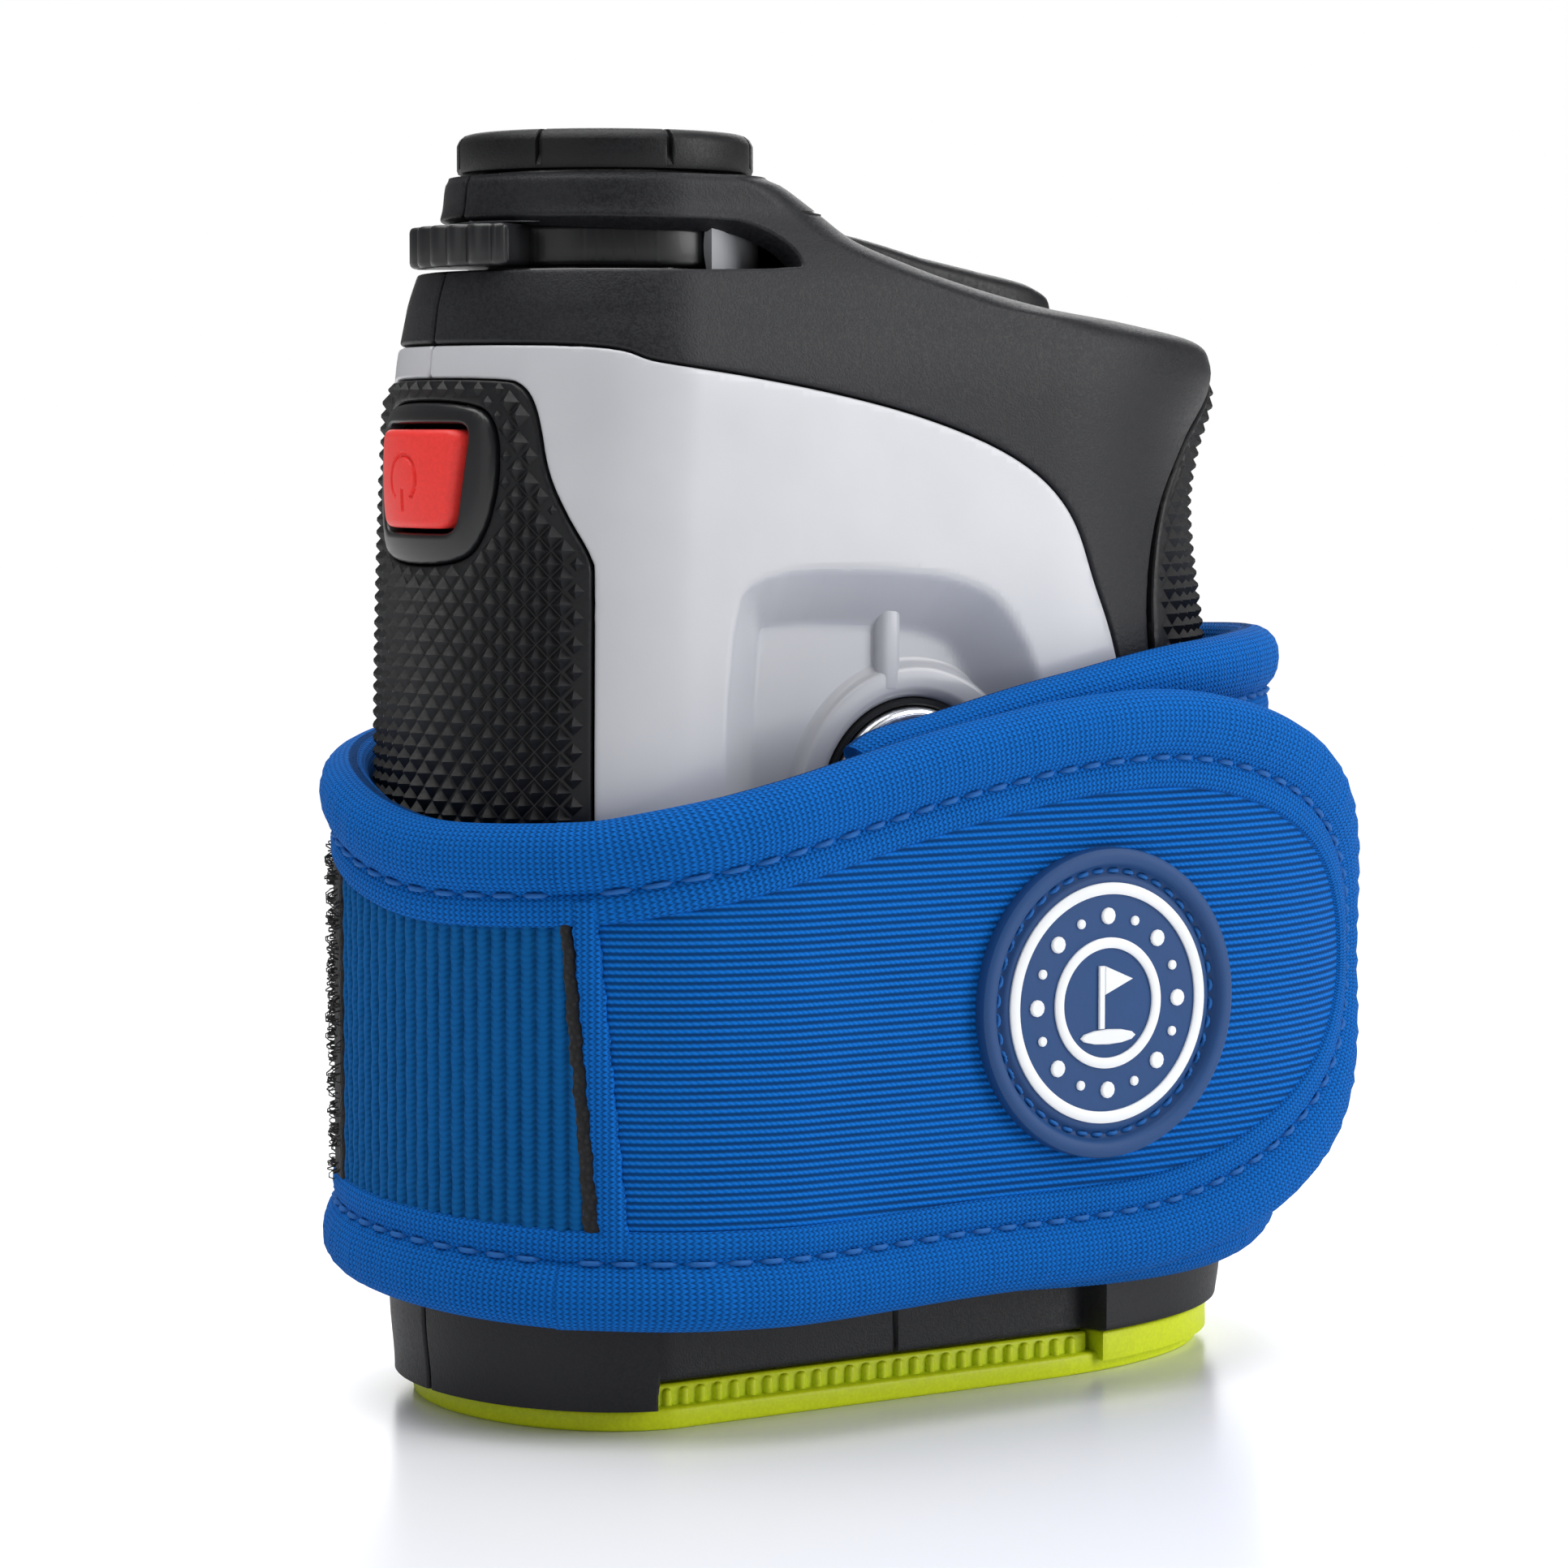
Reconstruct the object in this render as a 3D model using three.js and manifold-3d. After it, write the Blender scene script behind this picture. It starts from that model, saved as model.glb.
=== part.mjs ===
// A golf laser rangefinder standing on its front bezel, with a soft magnetic strap wrapped round it.
// Millimetres. +Z is up, towards the eyepiece. -X is the side with the fire button, +X the side the
// fingers hold, -Y the side with the battery cap. The origin is on the bezel's bottom face.
import * as THREE from "three";
import { mergeVertices } from "three/addons/utils/BufferGeometryUtils.js";
import Module from "manifold-3d";

const wasm = await Module();
wasm.setup();

// ---------------------------------------------------------------- driving dimensions
const GAP = 0.3; // clearance between fixed neighbours
const RUNNING = 0.15; // clearance round a turning or sliding piece

// Body: one row per height. back = button-side reach, backLen = length of its curved end,
// half = half width, grip = finger-side reach, gripLen = length of its curved end.
const BODY_HALF = 19.0; // flat sides of the body, from the middle plane
const GRIP_REACH = 45.5; // furthest reach of the finger side
const BODY_ROWS = [
  { z: 2.0, back: -36.0, backLen: 14.5, half: BODY_HALF, grip: GRIP_REACH - 0.9, gripLen: 29.0 },
  { z: 8.0, back: -36.5, backLen: 14.7, half: BODY_HALF, grip: GRIP_REACH, gripLen: 30.0 },
  { z: 30.0, back: -36.8, backLen: 15.0, half: BODY_HALF, grip: GRIP_REACH - 0.5, gripLen: 29.5 },
  { z: 52.0, back: -36.8, backLen: 15.0, half: BODY_HALF, grip: GRIP_REACH - 2.1, gripLen: 28.0 },
  { z: 65.0, back: -36.6, backLen: 15.0, half: BODY_HALF, grip: GRIP_REACH - 4.0, gripLen: 26.5 },
  { z: 76.0, back: -36.2, backLen: 15.0, half: BODY_HALF, grip: GRIP_REACH - 5.7, gripLen: 25.0 },
  { z: 82.0, back: -35.9, backLen: 15.0, half: BODY_HALF, grip: GRIP_REACH - 4.5, gripLen: 26.0 },
  { z: 86.5, back: -35.6, backLen: 15.0, half: BODY_HALF - 0.1, grip: GRIP_REACH - 2.3, gripLen: 27.5 },
  { z: 89.0, back: -35.4, backLen: 15.0, half: BODY_HALF - 0.4, grip: GRIP_REACH - 2.1, gripLen: 26.5 },
  { z: 91.0, back: -35.1, backLen: 15.0, half: BODY_HALF - 0.9, grip: 41.0, gripLen: 22.5 },
  { z: 92.5, back: -34.9, backLen: 15.0, half: BODY_HALF - 1.4, grip: 32.5, gripLen: 17.0 },
  { z: 93.7, back: -34.7, backLen: 15.0, half: BODY_HALF - 1.7, grip: 23.5, gripLen: 14.5 },
  { z: 95.7, back: -34.1, backLen: 14.8, half: BODY_HALF - 2.3, grip: 13.4, gripLen: 11.0 },
  { z: 97.7, back: -33.4, backLen: 14.4, half: BODY_HALF - 3.2, grip: 6.7, gripLen: 10.0 },
  { z: 99.2, back: -32.8, backLen: 14.1, half: BODY_HALF - 4.0, grip: 2.6, gripLen: 9.0 },
  { z: 101.4, back: -32.2, backLen: 13.9, half: 13.9, grip: -0.4, gripLen: 9.0 },
  { z: 103.6, back: -31.9, backLen: 13.6, half: 13.6, grip: -3.9, gripLen: 9.0 },
  { z: 104.3, back: -31.6, backLen: 13.3, half: 13.3, grip: -5.6, gripLen: 8.6 },
];
const BODY_LEVELS = [2, 8, 30, 52, 65, 71, 76, 82, 86.5, 89, 91, 92.5, 93.7, 95.7, 97.7, 99.2, 101.4, 104.3];
const BODY_SIDES = 24; // points round one level
const WALL = 1.8; // housing wall under a faceplate
const PLATE = 1.6; // faceplate thickness
const PAD = 1.5; // grip pad thickness under its diamonds
const PART_LINE = 0.15; // half the gap between the two housing halves

const SPINE_HALF = 5.0; // half width of the raised cover on the sloping top

const EYE_X = -18.3; // optical axis of the monocular
const TUBE_R = 10.0;
const TUBE_WALL = 1.1;
const SLOT_LOW = 96.3; // lever slot in the housing
const SLOT_HIGH = 100.7;
const SLOT_END_X = -9.0;
const COLLAR_TOP = 104.3;
const EYECUP_R = TUBE_R + 2.6;
const EYECUP_TOP = 108.0;
const EYECUP_NOTCHES = 7;
const EYECUP_FIRST_NOTCH = -95.7; // degrees from +X

const LEVER_R = TUBE_R + 2.0; // ring of the mode lever
const LEVER_TAB_R = LEVER_R + 4.9;
const LEVER_HALF_ANGLE = 28; // degrees each side of -X
const LEVER_SCALLOPS = 6;
const LEVER_THICK = 3.5;
const STOP_FROM_X = -15.7; // the walls that stop the lever's tab, along X
const STOP_TO_X = -6.5;

const BUTTON_Z = 79.0;
const BUTTON_HIGH = 8.2;
const BUTTON_HALF_TOP = 6.4;
const BUTTON_HALF_BOTTOM = 5.3;
const BUTTON_FACE_X = -38.2;
const BUTTON_TRAVEL = 0.8;

const RECESS_FLOOR_Y = BODY_HALF - 3.7; // how far from the middle the sunk panel lies on the battery side
const CELL = { r: 7.8, long: 26.6 }; // the lithium cell
const CELL_FROM = -(RECESS_FLOOR_Y - 2.9); // its end behind the cap
const BATTERY = { x: 2.7, z: 51.0, r: CELL.r, from: CELL_FROM, to: CELL_FROM + CELL.long };
const CAP_R = CELL.r + 0.7;
const CAP_SEAT_R = CAP_R + 0.8; // hole of the boss that the cap turns in
const BOSS_R = CAP_SEAT_R + 2.7;
const FAR_RECESS_Y = BODY_HALF - 1.2; // and on the other side

const OBJECTIVE_R = 10.5;
const LASER_X = 19.0;
const LASER_R = 8.2;
const BEZEL_THICK = 2.0;
const BEZEL_INSET = 1.6;
const BEZEL_BLOCK = { from: 21.9, top: 3.9 }; // the thicker block at the bezel's finger end
const NOTCH = { from: -24.6, to: 21.7, deep: 2.4, top: 11.0, bar: 3.6 };

const STRAP = { inner: 0.8, panel: 3.6, edge: 4.6, hem: 5.0, loops: 0.9 };
const TAB = { lift: 4.1, tipLift: 3.6, thick: 3.4, edge: 4.0 };
const PATCH_R = 13.3;

// ---------------------------------------------------------------- solids
const { Manifold, Mesh: SolidMesh } = wasm;

// A closed three.js geometry as a manifold-3d solid, turned the right way out.
function solid(geometry) {
  const bare = geometry.clone();
  for (const name of Object.keys(bare.attributes)) if (name !== "position") bare.deleteAttribute(name);
  const merged = mergeVertices(bare, 1e-4);
  const corners = merged.attributes.position.array;
  const faces = Array.from(merged.index.array);
  const tidy = [];
  let volume = 0;
  for (let i = 0; i < faces.length; i += 3) {
    const [a, b, c] = faces.slice(i, i + 3);
    if (a === b || b === c || a === c) continue;
    tidy.push(a, b, c);
    const [p, q, r] = [a, b, c].map((v) => new THREE.Vector3().fromArray(corners, 3 * v));
    volume += p.dot(q.cross(r));
  }
  if (volume < 0) {
    for (let i = 0; i < tidy.length; i += 3) [tidy[i + 1], tidy[i + 2]] = [tidy[i + 2], tidy[i + 1]];
  }
  return new Manifold(
    new SolidMesh({ numProp: 3, vertProperties: new Float32Array(corners), triVerts: new Uint32Array(tidy) }),
  );
}

function geometryOf(shape) {
  const mesh = shape.getMesh();
  const position = new Float32Array(mesh.numVert * 3);
  for (let i = 0; i < mesh.numVert; i++) {
    position.set(mesh.vertProperties.subarray(i * mesh.numProp, i * mesh.numProp + 3), i * 3);
  }
  const geometry = new THREE.BufferGeometry()
    .setAttribute("position", new THREE.BufferAttribute(position, 3))
    .setIndex(new THREE.BufferAttribute(new Uint32Array(mesh.triVerts), 1));
  geometry.computeVertexNormals();
  return geometry;
}

const box = (x0, x1, y0, y1, z0, z1) =>
  solid(
    new THREE.BoxGeometry(x1 - x0, y1 - y0, z1 - z0)
      .translate((x0 + x1) / 2, (y0 + y1) / 2, (z0 + z1) / 2),
  );

// A round bar along Z, from z0 to z1.
const post = (r, z0, z1, x, y = 0, sides = 32, rTop = r) =>
  solid(
    new THREE.CylinderGeometry(rTop, r, z1 - z0, sides).rotateX(Math.PI / 2).translate(x, y, (z0 + z1) / 2),
  );

// A round bar along Y, from y0 to y1.
const bar = (r, y0, y1, x, z, sides = 32) =>
  solid(new THREE.CylinderGeometry(r, r, y1 - y0, sides).translate(x, (y0 + y1) / 2, z));

// A profile of [radius, z] points turned round the vertical line through x.
const turned = (points, x, sides = 32) =>
  solid(
    new THREE.LatheGeometry(points.map(([r, z]) => new THREE.Vector2(r, z)), sides)
      .rotateX(Math.PI / 2)
      .translate(x, 0, 0),
  );

function shapeOf(points) {
  return new THREE.Shape(points.map(([a, b]) => new THREE.Vector2(a, b)));
}

// A flat outline of [x, z] points pushed along Y.
function alongY(points, y0, y1) {
  const flat = new THREE.ExtrudeGeometry(shapeOf(points), { depth: y1 - y0, bevelEnabled: false });
  return solid(flat.rotateX(Math.PI / 2).translate(0, y1, 0));
}

// A flat outline of [y, z] points pushed along X.
function alongX(points, x0, x1) {
  const flat = new THREE.ExtrudeGeometry(shapeOf(points), { depth: x1 - x0, bevelEnabled: false });
  const turn = new THREE.Matrix4().makeBasis(
    new THREE.Vector3(0, 1, 0),
    new THREE.Vector3(0, 0, 1),
    new THREE.Vector3(1, 0, 0),
  );
  return solid(flat.applyMatrix4(turn).translate(x0, 0, 0));
}

// A flat outline of [x, y] points pushed along Z.
function alongZ(points, z0, z1) {
  const depth = { depth: z1 - z0, bevelEnabled: false };
  return solid(new THREE.ExtrudeGeometry(shapeOf(points), depth).translate(0, 0, z0));
}

// Rings of the same number of points, skinned and closed at both ends.
function skinned(rings) {
  const sides = rings[0].length;
  const position = [];
  for (const ring of rings) for (const p of ring) position.push(p.x, p.y, p.z);
  const index = [];
  for (let r = 0; r + 1 < rings.length; r++) {
    for (let i = 0; i < sides; i++) {
      const a = r * sides + i;
      const b = r * sides + ((i + 1) % sides);
      index.push(a, b, b + sides, a, b + sides, a + sides);
    }
  }
  for (const [ring, start, down] of [
    [rings[0], 0, true],
    [rings.at(-1), (rings.length - 1) * sides, false],
  ]) {
    const middle = ring.reduce((sum, p) => sum.add(p), new THREE.Vector3()).divideScalar(sides);
    const centre = position.length / 3;
    position.push(middle.x, middle.y, middle.z);
    for (let i = 0; i < sides; i++) {
      const a = start + i;
      const b = start + ((i + 1) % sides);
      index.push(...(down ? [centre, b, a] : [centre, a, b]));
    }
  }
  const geometry = new THREE.BufferGeometry();
  geometry.setAttribute("position", new THREE.Float32BufferAttribute(position, 3));
  geometry.setIndex(index);
  return solid(geometry);
}

// ---------------------------------------------------------------- body shape
const ROW_KEYS = ["back", "backLen", "half", "grip", "gripLen"];

// The body's row at a height: a smooth curve through BODY_ROWS.
function rowAt(z) {
  const rows = BODY_ROWS;
  const at = Math.min(Math.max(rows.findIndex((row) => row.z > z) - 1, 0), rows.length - 2);
  const i = z >= rows.at(-1).z ? rows.length - 2 : at;
  const [p, q] = [rows[i], rows[i + 1]];
  const t = Math.min(Math.max((z - p.z) / (q.z - p.z), 0), 1);
  const slope = (k, key) => {
    if (k <= 0 || k >= rows.length - 1) return 0;
    return (rows[k + 1][key] - rows[k - 1][key]) / (rows[k + 1].z - rows[k - 1].z);
  };
  const row = { z };
  for (const key of ROW_KEYS) {
    const span = q.z - p.z;
    const [m0, m1] = [slope(i, key) * span, slope(i + 1, key) * span];
    row[key] =
      (2 * t ** 3 - 3 * t ** 2 + 1) * p[key] +
      (t ** 3 - 2 * t ** 2 + t) * m0 +
      (3 * t ** 2 - 2 * t ** 3) * q[key] +
      (t ** 3 - t ** 2) * m1;
  }
  return row;
}

// The body's outline at a height, moved in by inset: two half ellipses and the straight sides between.
function outline(z, inset = 0, sides = BODY_SIDES, zOut = z) {
  const row = rowAt(z);
  const ring = [];
  for (let i = 0; i < sides; i++) {
    const turn = (2 * Math.PI * (i + 0.5)) / sides;
    const c = Math.cos(turn);
    const [centre, length] =
      c > 0 ? [row.grip - row.gripLen, row.gripLen - inset] : [row.back + row.backLen, row.backLen - inset];
    ring.push(new THREE.Vector3(centre + length * c, (row.half - inset) * Math.sin(turn), zOut));
  }
  return ring;
}

const bodyAt = (inset, levels = BODY_LEVELS) => skinned(levels.map((z) => outline(z, inset)));

// Side outline of the faceplates: under the black cap at the top, along the finger side,
// and down to the strap.
const FACE_TOP = [
  [-60, 90.0],
  [-31, 90.0],
  [-24, 88.6],
  [-16, 87.5],
  [-8, 86.2],
  [0, 84.5],
  [7, 82.4],
  [12, 80.2],
  [15.5, 77.7],
  [18, 74.6],
  [20, 70.0],
  [22.8, 63.3],
  [26, 50],
  [28, 35],
  [28.5, 13],
];
const faceOutline = (grow) => [
  ...FACE_TOP.map(([x, z]) => [x + grow * 0.9, z + grow]),
  [FACE_TOP.at(-1)[0] + grow, 13 - grow],
  [-60, 13 - grow],
];

// Half of the top pad's outline, [half width, height], from its top edge down.
const TOP_PAD = [
  [9.4, 87.3],
  [11.0, 86.6],
  [11.9, 85.2],
  [12.5, 83.0],
  [13.1, 79.5],
  [14.6, 75.8],
  [15.8, 73.2],
  [16.3, 71.2],
  [16.3, 13.0],
];
// Half of the finger pad's outline.
const UNDER_PAD = [
  [4.5, 88.2],
  [8.6, 86.8],
  [11.6, 83.6],
  [13.3, 80.6],
  [14.9, 77.0],
  [15.6, 73.4],
  [16.0, 68.0],
  [15.7, 58.0],
  [13.9, 20.0],
  [12.4, 13.0],
];
const mirrored = (half, grow) => [
  ...half.map(([y, z], i) => [y + grow, z + (i < 2 ? grow : i === half.length - 1 ? -grow : 0)]),
  ...half.map(([y, z], i) => [-y - grow, z + (i < 2 ? grow : i === half.length - 1 ? -grow : 0)]).reverse(),
];
const topPadBlock = (grow) => alongX(mirrored(TOP_PAD, grow), -60, -22 + grow);
const underPadBlock = (grow) => alongX(mirrored(UNDER_PAD, grow), 22 - grow, 60);

// The smooth island round the fire button, seen along X.
const ISLAND = [
  [6.6, 85.4],
  [9.0, 83.6],
  [9.4, 79.0],
  [8.4, 74.6],
  [6.0, 71.8],
];
const islandBlock = (grow) =>
  alongX([...ISLAND.map(([y, z]) => [y + grow, z + Math.sign(z - BUTTON_Z) * grow]),
    ...ISLAND.map(([y, z]) => [-y - grow, z + Math.sign(z - BUTTON_Z) * grow]).reverse()], -60, -24);

// A range along Y on one side: between two distances from the middle, or beyond one.
const between = (way, a, b) => (way < 0 ? [-b, -a] : [a, b]);
const beyond = (way, a) => between(way, a, a + 14);

const half = (side, grow = PART_LINE) =>
  side < 0 ? box(-90, 90, -60, -grow, -10, 130) : box(-90, 90, grow, 60, -10, 130);

const body = bodyAt(0);
const around = bodyAt(-3); // a little bigger than the body, to cut skins from
const pocket = bodyAt(PLATE + GAP); // what is left of the body under the faceplates
const bodyUnderPads = bodyAt(PAD + GAP);

// The sunk panel in a faceplate's side, deeper on the battery side.
const recessRing = (grow) => [
  [-19.0 - grow, 30.0],
  [-18.6 - grow, 67.5],
  [-15.0, 72.2 + grow],
  [2.3, 71.6 + grow],
  [8.2, 70.0 + grow],
  [11.0 + grow, 68.0],
  [14.4 + grow, 62.5],
  [16.4 + grow, 50.0],
  [16.4 + grow, 30.0],
  [12.0, 26.0 - grow],
  [-15.0, 26.0 - grow],
];
const RECESS_SLOPE = 5.6; // how much smaller the panel's floor is than its mouth, all round
function recessCut(side, floor, grow = 0) {
  const mouth = recessRing(grow);
  const middle = [-1, 49];
  const bed = mouth.map(([x, z]) => [
    x + Math.sign(middle[0] - x) * Math.min(RECESS_SLOPE, Math.abs(middle[0] - x)),
    z + Math.sign(middle[1] - z) * Math.min(RECESS_SLOPE, Math.abs(middle[1] - z)),
  ]);
  const place = (points, y) => points.map(([x, z]) => new THREE.Vector3(x, side * y, z));
  const outer = BODY_HALF + 0.05;
  const reach = 4; // the slope runs on past the surface
  const past = mouth.map(([x, z], i) => [
    x + ((x - bed[i][0]) * reach) / (outer - floor),
    z + ((z - bed[i][1]) * reach) / (outer - floor),
  ]);
  return skinned([place(bed, floor), place(mouth, outer), place(past, outer + reach)]);
}

// ---------------------------------------------------------------- housing
const SCREWS = [
  [20.0, 46.5],
  [1.2, 20.0],
  [-22.0, 85.0],
  [9.0, 77.5],
];
const BOSS = { r: 2.9, hole: 1.3, head: 2.2 };
const HEAD_Y = BODY_HALF - PLATE - 1.8; // underside of a screw head, sunk below the faceplate

function rearSpineBlock(grow) {
  const top = [
    [1.0, 101.4],
    [5.4, 100.1],
    [12.0, 98.4],
    [18.6, 97.2],
    [23.6, 96.5],
    [26.6, 95.8],
    [27.8, 94.6],
  ];
  const low = [
    [27.8, 91.6],
    [20.0, 92.6],
    [10.0, 94.9],
    [1.0, 98.9],
  ];
  return alongY(
    [
      ...top.map(([x, z], i) => [x + (i === 0 ? -grow : i > 5 ? grow : 0), z + grow]),
      ...low.map(([x, z], i) => [x + (i === 0 ? grow : i === 3 ? -grow : 0), z - grow]),
    ],
    -SPINE_HALF - grow,
    SPINE_HALF + grow,
  );
}

function interior() {
  const levels = [5, 30, 52, 65, 76, 83, 86.5, 90];
  return skinned(levels.map((z) => outline(z + (z > 80 ? 2.7 : 0), PLATE + GAP + WALL, 20, z)));
}

const slotOutline = [
  [-60, SLOT_LOW],
  [SLOT_END_X, SLOT_LOW],
  [SLOT_END_X + 0.2, 97.6],
  [SLOT_END_X - 1.0, 99.0],
  [SLOT_END_X - 3.4, 100.2],
  [SLOT_END_X - 6.0, SLOT_HIGH],
  [-60, SLOT_HIGH],
];

// The round boss the battery cap sits in, and the upright rib above it.
const bossBlock = (grow) =>
  bar(BOSS_R + grow, -RECESS_FLOOR_Y - 1.9, -RECESS_FLOOR_Y + 1.0 + grow, BATTERY.x, BATTERY.z, 28);
// The sprung contact at the cell's far end, and with grow the room the housing leaves for it.
const contactBlock = (grow, gap = 0) =>
  box(BATTERY.x - 4 - grow, BATTERY.x + 4 + grow, BATTERY.to + gap, BATTERY.to + 0.6 + grow,
    BATTERY.z - 4 - grow, BATTERY.z + 4 + grow);
const ribBlock = (grow) =>
  box(-0.8 - grow, 1.2 + grow, -18.2, -RECESS_FLOOR_Y + 0.6 + grow, BATTERY.z + BOSS_R - 1.5, 69.6 + grow);

function housing(side) {
  const inside = interior();
  let shell = body
    .subtract(around.subtract(pocket).intersect(alongY(faceOutline(GAP), -40, 40)))
    .subtract(around.subtract(bodyUnderPads).intersect(underPadBlock(GAP)))
    .subtract(rearSpineBlock(GAP))
    .subtract(inside);
  for (const [x, z] of SCREWS) {
    shell = shell.add(bar(BOSS.r, -BODY_HALF + 2.6, BODY_HALF - 2.6, x, z, 16).intersect(pocket));
  }
  for (const [x, z] of SCREWS) {
    shell = shell
      .subtract(bar(BOSS.hole, -30, 12, x, z, 12))
      .subtract(bar(BOSS.head, -30, -HEAD_Y + GAP, x, z, 12));
  }
  shell = shell
    .subtract(alongY(slotOutline, -30, 30))
    .subtract(box(-30, -6.2, -11.4, 11.4, SLOT_LOW, SLOT_HIGH))
    .subtract(post(TUBE_R + RUNNING, 88, 110, EYE_X))
    .subtract(post(OBJECTIVE_R + 1.6, 0, 8, EYE_X))
    .subtract(post(LASER_R + 1.6, 0, 8, LASER_X))
    .subtract(contactBlock(GAP))
    .subtract(box(BEZEL_BLOCK.from - GAP / 2, 90, -60, 60, -1, BEZEL_BLOCK.top + GAP / 2))
    .subtract(box(-40, -25, -3.2, 3.2, BUTTON_Z - 3, BUTTON_Z + 3)); // the button's plunger passes here
  for (const way of [-1, 1]) {
    const [a, b] = beyond(way, BODY_HALF - NOTCH.deep);
    shell = shell
      .subtract(box(NOTCH.from, NOTCH.to, a, b, -1, NOTCH.top))
      .subtract(box(NOTCH.from, NOTCH.to, ...beyond(way, BODY_HALF - 7), -1, NOTCH.bar + GAP));
  }
  const floor = side < 0 ? RECESS_FLOOR_Y : FAR_RECESS_Y;
  shell = shell.subtract(recessCut(side, floor - PLATE - GAP, 0.8 + 2 * GAP));
  if (side < 0) shell = shell.subtract(bossBlock(GAP)).subtract(ribBlock(GAP));
  return shell.intersect(half(side));
}

function faceplate(side) {
  const skin = body.subtract(bodyAt(PLATE));
  const floor = side < 0 ? RECESS_FLOOR_Y : FAR_RECESS_Y;
  const pan = recessCut(side, floor - PLATE, 0.8).subtract(recessCut(side, floor)).intersect(body);
  let plate = skin
    .intersect(alongY(faceOutline(0), -40, 40))
    .intersect(half(side))
    .add(pan)
    .subtract(recessCut(side, floor))
    .subtract(topPadBlock(GAP / 2));
  if (side < 0) {
    const { x, z } = BATTERY;
    plate = plate.add(bossBlock(0)).add(ribBlock(0)).subtract(bar(CAP_SEAT_R, -30, 0, x, z, 28));
  }
  return plate;
}

function topPad() {
  return bodyAt(-0.35)
    .subtract(bodyAt(PLATE))
    .intersect(topPadBlock(-GAP / 2))
    .subtract(islandBlock(GAP / 2))
    .intersect(box(-60, 0, -30, 30, 13, 120));
}

const underPad = () => bodyAt(-0.35).subtract(bodyAt(PAD)).intersect(underPadBlock(-GAP / 2));

// The island stands proud of the pad and carries the button's frame.
function buttonSurround() {
  const dome = bodyAt(-0.9).subtract(bodyAt(PLATE)).intersect(islandBlock(-GAP / 2));
  return dome.subtract(buttonBlock(GAP, -60, -20));
}

const buttonBlock = (grow, x0, x1) =>
  alongX(
    [
      [BUTTON_HALF_TOP + grow, BUTTON_Z + BUTTON_HIGH / 2 + grow],
      [BUTTON_HALF_BOTTOM + grow, BUTTON_Z - BUTTON_HIGH / 2 - grow],
      [-BUTTON_HALF_BOTTOM - grow, BUTTON_Z - BUTTON_HIGH / 2 - grow],
      [-BUTTON_HALF_TOP - grow, BUTTON_Z + BUTTON_HIGH / 2 + grow],
    ],
    x0,
    x1,
  );

const BUTTON_BACK_X = -34.3; // the button's shoulder stops here, on the housing wall, when it is pressed
function fireButton() {
  const bow = 12.5; // radius of the button's face across its width
  const face = post(bow, 60, 100, BUTTON_FACE_X + bow, 0, 64);
  const key = buttonBlock(0, BUTTON_FACE_X - 1, BUTTON_BACK_X - BUTTON_TRAVEL).intersect(face);
  const stem = box(-36, -31.9, -1.6, 1.6, BUTTON_Z - 1.6, BUTTON_Z + 1.6);
  return key.add(stem);
}

// ---------------------------------------------------------------- front bezel and optics
function frontBezel() {
  const plan = outline(2, BEZEL_INSET, 44).map((p) => [p.x, p.y]);
  let plate = alongZ(plan, 0, BEZEL_THICK - GAP / 2);
  for (const way of [-1, 1]) {
    const [a, b] = beyond(way, BODY_HALF - NOTCH.deep);
    plate = plate.subtract(box(NOTCH.from + 2.4, NOTCH.to - 0.6, a, b, -1, 9));
    const [c, d] = between(way, BODY_HALF - 6.7, BODY_HALF - 2.8);
    plate = plate.add(box(NOTCH.from + GAP, NOTCH.to - GAP, c, d, 0, NOTCH.bar));
    const ribs = 13;
    for (let i = 0; i < ribs; i++) {
      const x = NOTCH.from + 2.0 + (i * (NOTCH.to - NOTCH.from - 4.0)) / (ribs - 1);
      const [e, f] = between(way, BODY_HALF - 3.0, BODY_HALF - 2.4);
      plate = plate.add(box(x - 0.45, x + 0.45, e, f, 0.5, NOTCH.bar - 0.3));
    }
  }
  const block = alongZ(plan, 0, BEZEL_BLOCK.top - GAP / 2)
    .intersect(box(BEZEL_BLOCK.from + GAP / 2, 90, -60, 60, -1, 9))
    .subtract(post(LASER_R + 1.3 + GAP, BEZEL_THICK - GAP / 2, 9, LASER_X, 0, 40));
  return plate
    .add(block)
    .subtract(post(OBJECTIVE_R + 0.6, -1, 9, EYE_X, 0, 40))
    .subtract(post(LASER_R + 0.6, -1, 9, LASER_X, 0, 40));
}

const ring = (rOut, rIn, z0, z1, x, sides = 32) =>
  post(rOut, z0, z1, x, 0, sides).subtract(post(rIn, z0 - 1, z1 + 1, x, 0, sides));

// A lens along Z: two bowed faces of the given height on a rim.
function lens(x, z, r, rim, bowLow, bowHigh, sides = 24) {
  const steps = 3;
  const points = [];
  for (let i = 0; i <= steps; i++) {
    const t = i / steps;
    points.push([r * t, z - rim / 2 - bowLow * (1 - t * t)]);
  }
  for (let i = steps; i >= 0; i--) {
    const t = i / steps;
    points.push([r * t, z + rim / 2 + bowHigh * (1 - t * t)]);
  }
  return turned(points, x, sides);
}

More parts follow.
